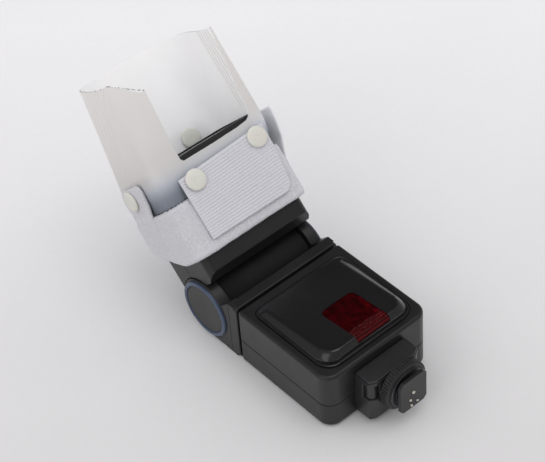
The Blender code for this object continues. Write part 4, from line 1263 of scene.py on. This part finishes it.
def sheet_rows(offset):
    """Rows of one face of the wall, from the head end to the cut edge."""
    levels = [47.0 + 2.0 * k for k in range(5)] + [57.0 + 1.5 * k for k in range(13)]
    levels += [77.0 + 2.0 * k for k in range(15)]
    rows = [[(-run, y, rise) for y, rise in sheet_section(run, offset)] for run in levels]
    # from the last level up, rows spread evenly to the cut edge
    start, reach, samples, row_count = 105.0, 32.0, 40, 17
    sections = [sheet_section(start + reach * k / samples, offset) for k in range(samples + 1)]
    tops = [sheet_top(y, rise) for y, rise in sheet_section(128.0, 0.3)]
    for j in range(1, row_count + 1):
        row = []
        for column, top in enumerate(tops):
            run = lerp(start, top, j / row_count)
            position = clamp((run - start) / reach) * samples
            i = min(int(position), samples - 1)
            ya, rise_a = sections[i][column]
            yb, rise_b = sections[i + 1][column]
            row.append((-run, lerp(ya, yb, position - i), lerp(rise_a, rise_b, position - i)))
        rows.append(row)
    return rows


def notch_outline():
    """Hand-cut opening in the front wall, in local x and y."""
    # run, y
    corners = [
        (76.6, -17.9), (75.0, -16.6), (74.9, 0.0), (75.2, 20.0), (75.9, 27.4), (77.4, 29.8),
        (80.0, 30.8), (95.0, 32.4), (112.0, 34.3), (128.5, 36.6), (142.0, 38.4), (150.0, 39.0),
        (150.0, -13.0), (130.0, -14.4), (117.0, -15.4), (100.0, -16.7), (83.0, -18.0),
    ]
    out = []
    for i, corner in enumerate(corners):
        start, end = Vector(corner), Vector(corners[(i + 1) % len(corners)])
        steps = max(1, int((end - start).length / 0.8))
        for k in range(steps):
            point = start.lerp(end, k / steps)
            jitter = 0.16 * fractal(point.x, point.y, 9.0, 0.35, 3)
            out.append((-(point.x + jitter), point.y + jitter))
    return out


def write_sheet_shade_masks(sheet):
    """Corner colours for the material's painted shade, scatter and see-through: crease, nearness
    to the head, cut rim, outer face.
    """
    mesh = sheet.data
    shade_masks = mesh.color_attributes.new("sheet_shade_masks", "FLOAT_COLOR", "CORNER")
    to_head = HEAD.inverted()
    turn = HEAD.to_3x3().inverted()
    values = []
    for polygon in mesh.polygons:
        normal = turn @ polygon.normal
        for i in polygon.loop_indices:
            point = (to_head @ mesh.vertices[mesh.loops[i].vertex_index].co) / MM
            run, y, rise = -point.x, point.y, point.z
            near = 1.0 - ease((run - 60.0) / 21.0) if rise > 0 or run < 66 else 0.0
            rim = abs(normal.x) > 0.5 or (rise > 26 and abs(y) < 25 and abs(normal.z) < 0.4)
            outer = (normal.z > 0.2 and rise > 8) or (normal.y < -0.2 and y < -20)
            values += [max(crease_at(run, y, rise)), near, 1.0 if rim else 0.0,
                       ease((run - 66.0) / 16.0) if outer else 0.0]
    shade_masks.data.foreach_set("color", values)


def build_sheet():
    rows = sheet_rows(SHEET_THICKNESS) + sheet_rows(0.0)[::-1]
    sheet = add_object("diffuser_tube", loft(rows, True), HEAD)
    boolean(sheet, prism(notch_outline(), "z", 20.0, 45.0), place=HEAD)
    write_sheet_shade_masks(sheet)
    on_diffuser(sheet, FROSTED, "diffuser_sheet", 50)


def add_blob(bm, subdivisions, matrix):
    made = bmesh.ops.create_icosphere(bm, subdivisions=subdivisions, radius=1.0)
    bmesh.ops.transform(bm, matrix=matrix, verts=made["verts"])


def cut_edge_point(along, back_off):
    """Point on the front-left part of the cut edge; both arguments are 0 to 1."""
    y = lerp(-37.0, -15.5, along)
    y0, _, _, rise1, radii = sheet_size(126.0)
    radius = radii[2]
    rise = rise1
    if y < y0 + radius:
        inward = (y0 + radius) - max(y, y0 + 0.05)
        rise = rise1 - radius + math.sqrt(max(0.0, radius * radius - inward * inward))
    y = max(y, y0 + 0.1)
    return (-(sheet_top(y, rise) - 0.35 * back_off), y, rise + SHEET_THICKNESS * 0.5 + 0.25)


def build_edge_specks():
    """Dark specks along the cut edge, from a small fixed random sequence."""
    bm = bmesh.new()
    state, modulus = 77, 2147483647
    for _ in range(46):
        draws = []
        for _ in range(3):
            state = (state * 16807) % modulus
            draws.append(state / modulus)
        along, turn, size = draws
        length = lerp(0.25, 0.8, size) * MM
        add_blob(bm, 1, Matrix.Translation(Vector(cut_edge_point(along, turn)) * MM)
                 @ Matrix.Rotation((turn - 0.5) * 1.6, 4, "Z")
                 @ Matrix.Diagonal((length * 0.35, length * 0.6, 0.12 * MM, 1)))
    specks = add_object("cut_edge_specks", bm, HEAD)
    on_diffuser(specks, DARK_SPECK, smooth=60)


# ------------------------------------------------------------------ loop strap
def strap_path():
    """380 evenly spaced (y, rise, normal y, normal rise) points round the head."""
    corners = [Vector(point) for point in round_rect(-36.4, 36.4, -19.2, 28.4, 3.5)]
    total = sum((corners[i] - corners[i - 1]).length for i in range(len(corners)))
    count = 380
    path, here, ahead = [], corners[0], 1
    for _ in range(count):
        path.append(here)
        left = total / count
        while left > 1e-9:
            target = corners[ahead % len(corners)]
            span = target - here
            if span.length > left:
                here = here + span.normalized() * left
                left = 0.0
            else:
                left -= span.length
                here = target
                ahead += 1
    out = []
    for k, point in enumerate(path):
        tangent = (path[(k + 2) % count] - path[k - 2]).normalized()
        out.append((point.x, point.y, tangent.y, -tangent.x))
    return out


def build_strap():
    # section as (share of the width, height off the head)
    section = [(0.012, 0.1), (0.0, 0.6), (0.004, 1.4), (0.015, 1.95), (0.035, 2.25), (0.06, 2.4)]
    section += [(0.06 + 0.88 * k / 44, 2.4) for k in range(1, 44)]
    section += [(0.94, 2.4), (0.965, 2.25), (0.985, 1.95), (0.996, 1.4), (1.0, 0.6), (0.988, 0.1),
                (0.66, 0.0), (0.33, 0.0)]
    path = strap_path()
    rings = []
    for share, height in section:
        points = []
        for y, rise, normal_y, normal_rise in path:
            low = 25.6 + 14.0 * clamp((12.0 - rise) / 32.0) ** 1.3
            low += 0.5 * fractal(y, rise, 1.0, 0.09, 3)
            high = STRAP_TOP + 0.35 * fractal(y, rise, 7.0, 0.25, 3)
            run = lerp(low, high, share)
            out = height
            if height > 1.0:
                out += 0.26 * fractal(y, rise, run, 1.1, 3)
                out += 0.35 * fractal(y, rise, run, 0.12, 2)
                out -= 0.2 * (1 - math.sin(math.pi * clamp(share)))
            else:
                run += 0.22 * fractal(y, rise, height, 1.3, 2)
            points.append((-run, y + normal_y * out, rise + normal_rise * out))
        rings.append(points)
    strap = add_object("strap_band", loft(rings, True), HEAD)
    on_diffuser(strap, LOOP_CLOTH, "loop_strap")


def soft_pad(name, rows, low_edge, high_edge, end_gap, place, relief, thickness, columns,
             insets, rounding, fade, open_start):
    """Soft flat piece with rounded edges.

    low_edge, high_edge and end_gap are functions of the row: the sides' places and the distance
    to the nearest rounded end.  place(row, across, height) gives the point, and relief(row,
    across) roughens the top, fading out over `fade` mm from the edge.  insets are the columns
    next to a side, and rounding is the edge radius as a share of the thickness.
    """
    bm = bmesh.new()
    margin = insets[-1] + 0.5
    grids = []
    for side in (1, -1):
        grid = []
        for row in rows:
            low, high = low_edge(row), high_edge(row)
            stations = [low + inset for inset in insets]
            stations += [lerp(low + margin, high - margin, k / columns)
                         for k in range(columns + 1)]
            stations += [high - inset for inset in reversed(insets)]
            verts = []
            for across in stations:
                gap = min(across - low, high - across, end_gap(row))
                bend = 1 - clamp(gap / (thickness * rounding))
                local = thickness * math.sqrt(max(0.0, 1 - bend ** 2))
                height = thickness / 2 + side * local / 2
                if side > 0:
                    height += clamp(gap / fade) * relief(row, across)
                verts.append(bm.verts.new(Vector(place(row, across, height)) * MM))
            grid.append(verts)
        grids.append(grid)
    for upper, grid in zip((True, False), grids):
        for first, second in zip(grid, grid[1:]):
            for j in range(len(first) - 1):
                quad = (first[j], first[j + 1], second[j + 1], second[j])
                bm.faces.new(quad if upper else quad[::-1])
    if open_start:
        top, bottom = grids[0][0], grids[1][0]
        for j in range(len(top) - 1):
            bm.faces.new((top[j], bottom[j], bottom[j + 1], top[j + 1]))
    bmesh.ops.remove_doubles(bm, verts=bm.verts, dist=2e-6)
    if open_start:
        bmesh.ops.dissolve_degenerate(bm, edges=bm.edges, dist=1e-7)
    return add_object(name, orient(bm), HEAD)


def corner_inset(distance, radius):
    """How far a side comes in at a distance into its rounded corner."""
    if distance <= 0:
        return 0.0
    return radius - math.sqrt(max(0.0, radius * radius - distance ** 2))


def strap_tab(name, material, span, step, low, high, radii, place, thickness):
    """Tab over a span of run; low and high are (run, side place) tables with corner radii."""
    start, end = span
    rows = [start]
    run = start + step
    while run < end - 1.4:
        rows.append(run)
        run += step
    rows += [end - 1.0, end - 0.6, end - 0.3, end - 0.1, end]

    def side(run, table, radius, sign):
        inset = corner_inset(run - end + radius, radius) * 0.97
        return interpolate(run, table) + sign * inset

    tab = soft_pad(
        name, rows, lambda run: side(run, low, radii[0], 1),
        lambda run: side(run, high, radii[1], -1), lambda run: end - run, place,
        lambda run, across: 0.16 * fractal(across, run, 5.0, 1.1, 3), thickness, columns=34,
        insets=(0.0, 0.12, 0.35, 0.8), rounding=0.6, fade=0.8, open_start=True)
    on_diffuser(tab, material)


def left_tab_point(run, rise, height):
    lean = 0.05 * (run - 50.0) + 0.7 * (1 - ease((run - 56) / 8))
    return (-run, -(36.45 + lean + height * 0.9), rise)


def right_tab_point(run, rise, height):
    # run, y
    wall = interpolate(run, [(44.0, 37.0), (47.0, 37.4), (52.0, 39.6), (58.5, 42.1),
                             (66.0, 43.7), (76.0, 45.2)])
    return (-run, wall + height + 0.25 * math.sin((rise - 4) / 9.0), rise)


def build_strap_tabs():
    strap_tab("strap_tab_left", LOOP_CLOTH, (46.0, 76.4), 0.65, [(46, -14.0)],
              [(46, 6.0), (57, 8.0), (64, 11.0), (71, 13.3), (79, 13.6)], (8.0, 4.5),
              left_tab_point, 2.1)
    strap_tab("strap_tab_right", LIT_BACKING_CLOTH, (44.0, 76.0), 0.65, [(44, 4.5)], [(44, 28.5)],
              (6.0, 2.6), right_tab_point, 2.1)
    strap_tab("strap_tab_back", LOOP_CLOTH, (46.0, 89.0), 0.8, [(46, 4.0)], [(46, 31.0)],
              (7.0, 7.0), lambda run, y, height: (-run, y, -19.95 - height), 1.95)


# ribbed closure tab on the front; its rows are shares of the way up
CLOSURE_LOW, CLOSURE_HEIGHT = 31.5, 38.5


def closure_right(share):
    run = lerp(CLOSURE_LOW, CLOSURE_LOW + CLOSURE_HEIGHT, share)
    side = interpolate(run, [(38.5, 31.2), (55.8, 33.5), (70.0, 34.0)])
    return side - corner_inset(38.5 - run, 7.2)


def closure_point(share, y, height):
    """The top edge slants up to the right."""
    low = CLOSURE_LOW + 0.25 * fractal(y, 0, 4.0, 0.2, 2)
    high = lerp(67.7, 70.6, (y + 25.5) / 59.5)
    rise = 31.1 + height + 0.12 * math.sin(y / 13.0) - 0.25 * ease((y - 22) / 12)
    return (-lerp(low, high, share), y, rise)


def closure_relief(share, y):
    """Ribs across the tab, with a fine weave."""
    up = share * CLOSURE_HEIGHT
    phase = (up / 1.72) % 1.0
    groove = -0.30 * (math.cos(2 * math.pi * phase) * 0.5 + 0.5) ** 2 + 0.02
    return groove + 0.06 * fractal(y, up, 2.0, 1.3, 3)


def build_closure_tab():
    ends = [0.001, 0.004, 0.009, 1 - 0.009, 1 - 0.004, 1 - 0.001]
    rows = sorted(set([k / 190 for k in range(191)] + ends))
    tab = soft_pad(
        "closure_tab_ribbed", rows, lambda share: -25.6 - 0.3 * share, closure_right,
        lambda share: min((1 - share) * CLOSURE_HEIGHT, share * CLOSURE_HEIGHT),
        closure_point, closure_relief, 1.8, columns=60, insets=(0.0, 0.1, 0.3, 0.7),
        rounding=0.55, fade=0.9, open_start=False)
    on_diffuser(tab, RIBBED_CLOTH, "closure_tab")


def build_strap_edge_shade():
    """Dark specks along the strap's top edge, on the left side and front-left corner: painted
    shade for the shadow line between the strap edge and the sheet, and partly the frayed edge of
    the loop fabric.
    """
    bm = bmesh.new()
    place = 0
    for y, rise, normal_y, normal_rise in strap_path():
        if not ((y < -35.5 and rise > 9.0) or (rise > 24.0 and y < -25.2)):
            continue
        place += 1
        if place % 3 == 0 or perlin(y, rise, 3.0, 0.9) > 0.32:
            continue
        length = 0.55 + 0.35 * perlin(y, rise, 8.0, 1.3)
        out = 1.75 + 0.3 * perlin(y, rise, 5.0, 1.1)
        center = Vector((-(STRAP_TOP + 0.25 + 0.35 * perlin(y, rise, 1.0, 0.8)),
                         y + normal_y * out, rise + normal_rise * out))
        along = Vector((0.35 * math.sin(place * 2.1), -normal_rise, normal_y)).normalized()
        add_blob(bm, 2, Matrix.Translation(center * MM)
                 @ along.to_track_quat("X", "Z").to_matrix().to_4x4()
                 @ Matrix.Diagonal((length * MM, 0.22 * MM, 0.3 * MM, 1)))
    shade_specks = add_object("strap_edge_shade_specks", bm, HEAD)
    on_diffuser(shade_specks, DARK_SPECK, smooth=60)


# ------------------------------------------------------------------ snaps
def build_snaps():
    # radius, height
    profile = [
        (5.2, 0.0), (5.85, 0.12), (6.0, 0.45), (5.95, 0.8), (5.7, 1.12), (5.2, 1.36), (4.5, 1.5),
        (3.4, 1.62), (2.2, 1.7), (1.35, 1.72), (1.1, 1.66), (0.85, 1.6), (0.05, 1.58),
    ]
    # the right tab leans out by 3 in 18
    right_y = lerp(44.3, 47.3, 9.5 / 18.0)
    right = (HEAD @ Matrix.Translation(Vector((-67.5, right_y, 16.5)) * MM)
             @ Matrix.Rotation(-math.atan2(3.0, 18.0), 4, "Z"))
    # place on the diffuser, axis, centre, base level, direction along the axis, frame
    snaps = [
        ("front_left", "z", (-63.4, -17.4), 33.05, 1, HEAD),
        ("front_right", "z", (-65.4, 26.6), 33.05, 1, HEAD),
        ("left", "y", (-69.8, -3.0), -39.45, -1, HEAD),
        ("right", "y", (0.0, 0.0), 0.0, 1, right),
        ("back", "z", (-81.5, 17.5), -18.35, 1, HEAD),
    ]
    for label, axis, center, base, side, place in snaps:
        placed = [(radius, base + side * height) for radius, height in profile]
        cap = add_object("snap_cap_" + label, turned(axis, center, placed, 72, False), place)
        on_diffuser(cap, CREAM, "snap_" + label, 70)


for build in (build_casings, build_hood, build_red_window, build_display, build_keys,
              build_power_switch, build_casing_screws, build_battery_door, build_door_latch,
              build_shoe_module, build_lock_ring, build_clamp, build_foot, build_contact_pins,
              build_neck, build_pivots, build_head_casings, build_hinge_drum, build_lens,
              build_flash_tube, build_sheet, build_edge_specks, build_strap, build_strap_tabs,
              build_closure_tab, build_strap_edge_shade, build_snaps):
    build()

# ------------------------------------------------------------------ CAD pieces that stay
for material, names in (
        (LAMP_RED, ["af_lamp"]), (BOARD, ["main_board"]), (CAPACITOR, ["main_capacitor"]),
        (COPPER, ["transformer"]), (MATTE_BLACK, ["battery_tray"]), (DISPLAY, ["lcd_panel"]),
        (CELL, ["aa_cell_1", "aa_cell_2", "aa_cell_3", "aa_cell_4"]),
        (REFLECTOR, ["reflector"]),
        (STEEL, ["battery_contacts_head_end", "battery_contacts_foot_end", "door_hinge_pin",
                 "swivel_collar", "tilt_axle", "zoom_motor", "zoom_lead_screw"])):
    for name in names:
        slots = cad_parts[name].data.materials
        slots.clear()
        slots.append(material)


# ------------------------------------------------------------------ stage
def build_floor():
    bm = bmesh.new()
    bmesh.ops.create_grid(bm, x_segments=8, y_segments=8, size=3.0)
    floor = add_object("floor", bm, Matrix.Translation((0, 0, (BACK_Z - 0.05) * MM)))
    floor.data.materials.append(PAPER)


def softbox(name, location, size, power, color, glossy=True):
    """Square area light aimed at the flash; places and sizes in metres."""
    light = bpy.data.lights.new(name, "AREA")
    light.shape = "RECTANGLE"
    light.size = light.size_y = size
    light.energy = power
    light.color = color
    ob = bpy.data.objects.new(name, light)
    scene.collection.objects.link(ob)
    ob.location = location
    ob.rotation_mode = "QUATERNION"
    away = Vector(location) - Vector((-0.12, 0.0, 0.02))
    ob.rotation_quaternion = away.to_track_quat("Z", "Y")
    if not glossy:
        ob.visible_glossy = False


def build_world():
    """Pale room, bright all round except for a dark patch of ceiling beyond the head."""
    world = bpy.data.worlds.new("studio")
    scene.world = world
    nodes = Nodes(world, "Generated")
    toward_patch = nodes.dot(nodes.coords, Vector((-0.62, 0.40, 0.62)).normalized())
    room = nodes.remap(toward_patch, (0.70, 0.95), (1.0, 0.15), interpolation_type="SMOOTHSTEP")
    # mirror-like reflections see a dimmer room, so that dark plastic stays dark
    glossy = nodes.node("LightPath").outputs["Is Glossy Ray"]
    strength = nodes.node("Mix", {0: glossy, 2: 0.77, 3: nodes.product(room, 0.33)},
                          data_type="FLOAT").outputs[0]
    background = nodes.tree.nodes["Background"]
    nodes.feed(background.inputs["Strength"], strength)
    nodes.feed(background.inputs["Color"], (0.985, 0.98, 1.0))


def build_camera():
    azimuth, elevation, roll = [math.radians(x) for x in (51.98, 44.15, -4.86)]
    target, distance = Vector((-139.76, 28.50, -1.58)) * MM, 1.0072
    back = Vector((math.sin(azimuth) * math.cos(elevation),
                   -math.cos(azimuth) * math.cos(elevation), math.sin(elevation)))
    level_right = (-back).cross(Vector((0, 0, 1))).normalized()
    level_up = level_right.cross(-back)
    right = level_right * math.cos(roll) + level_up * math.sin(roll)
    up = -level_right * math.sin(roll) + level_up * math.cos(roll)
    camera = bpy.data.cameras.new("camera")
    camera.sensor_width = 36.0
    camera.lens = 118.89908
    camera.clip_start, camera.clip_end = 0.05, 20.0
    ob = bpy.data.objects.new("camera", camera)
    scene.collection.objects.link(ob)
    matrix = Matrix((right, up, back)).transposed().to_4x4()
    matrix.translation = target + back * distance
    ob.matrix_world = matrix
    scene.camera = ob


build_floor()
softbox("overhead_softbox", (0.08, 0.16, 1.12), size=0.62, power=2.3, color=(1.0, 0.992, 0.985))
softbox("fill_left", (0.10, -1.0, 0.75), size=0.8, power=2.2, color=(0.99, 0.99, 1.0))
softbox("fill_rear_left", (-0.75, -0.75, 0.85), size=0.7, power=1.3, color=(1.0, 0.995, 0.99),
        glossy=False)
softbox("fill_right", (0.25, 0.95, 0.50), size=0.6, power=0.8, color=(1.0, 0.995, 0.99),
        glossy=False)
build_world()
build_camera()
scene.view_settings.view_transform = "Standard"
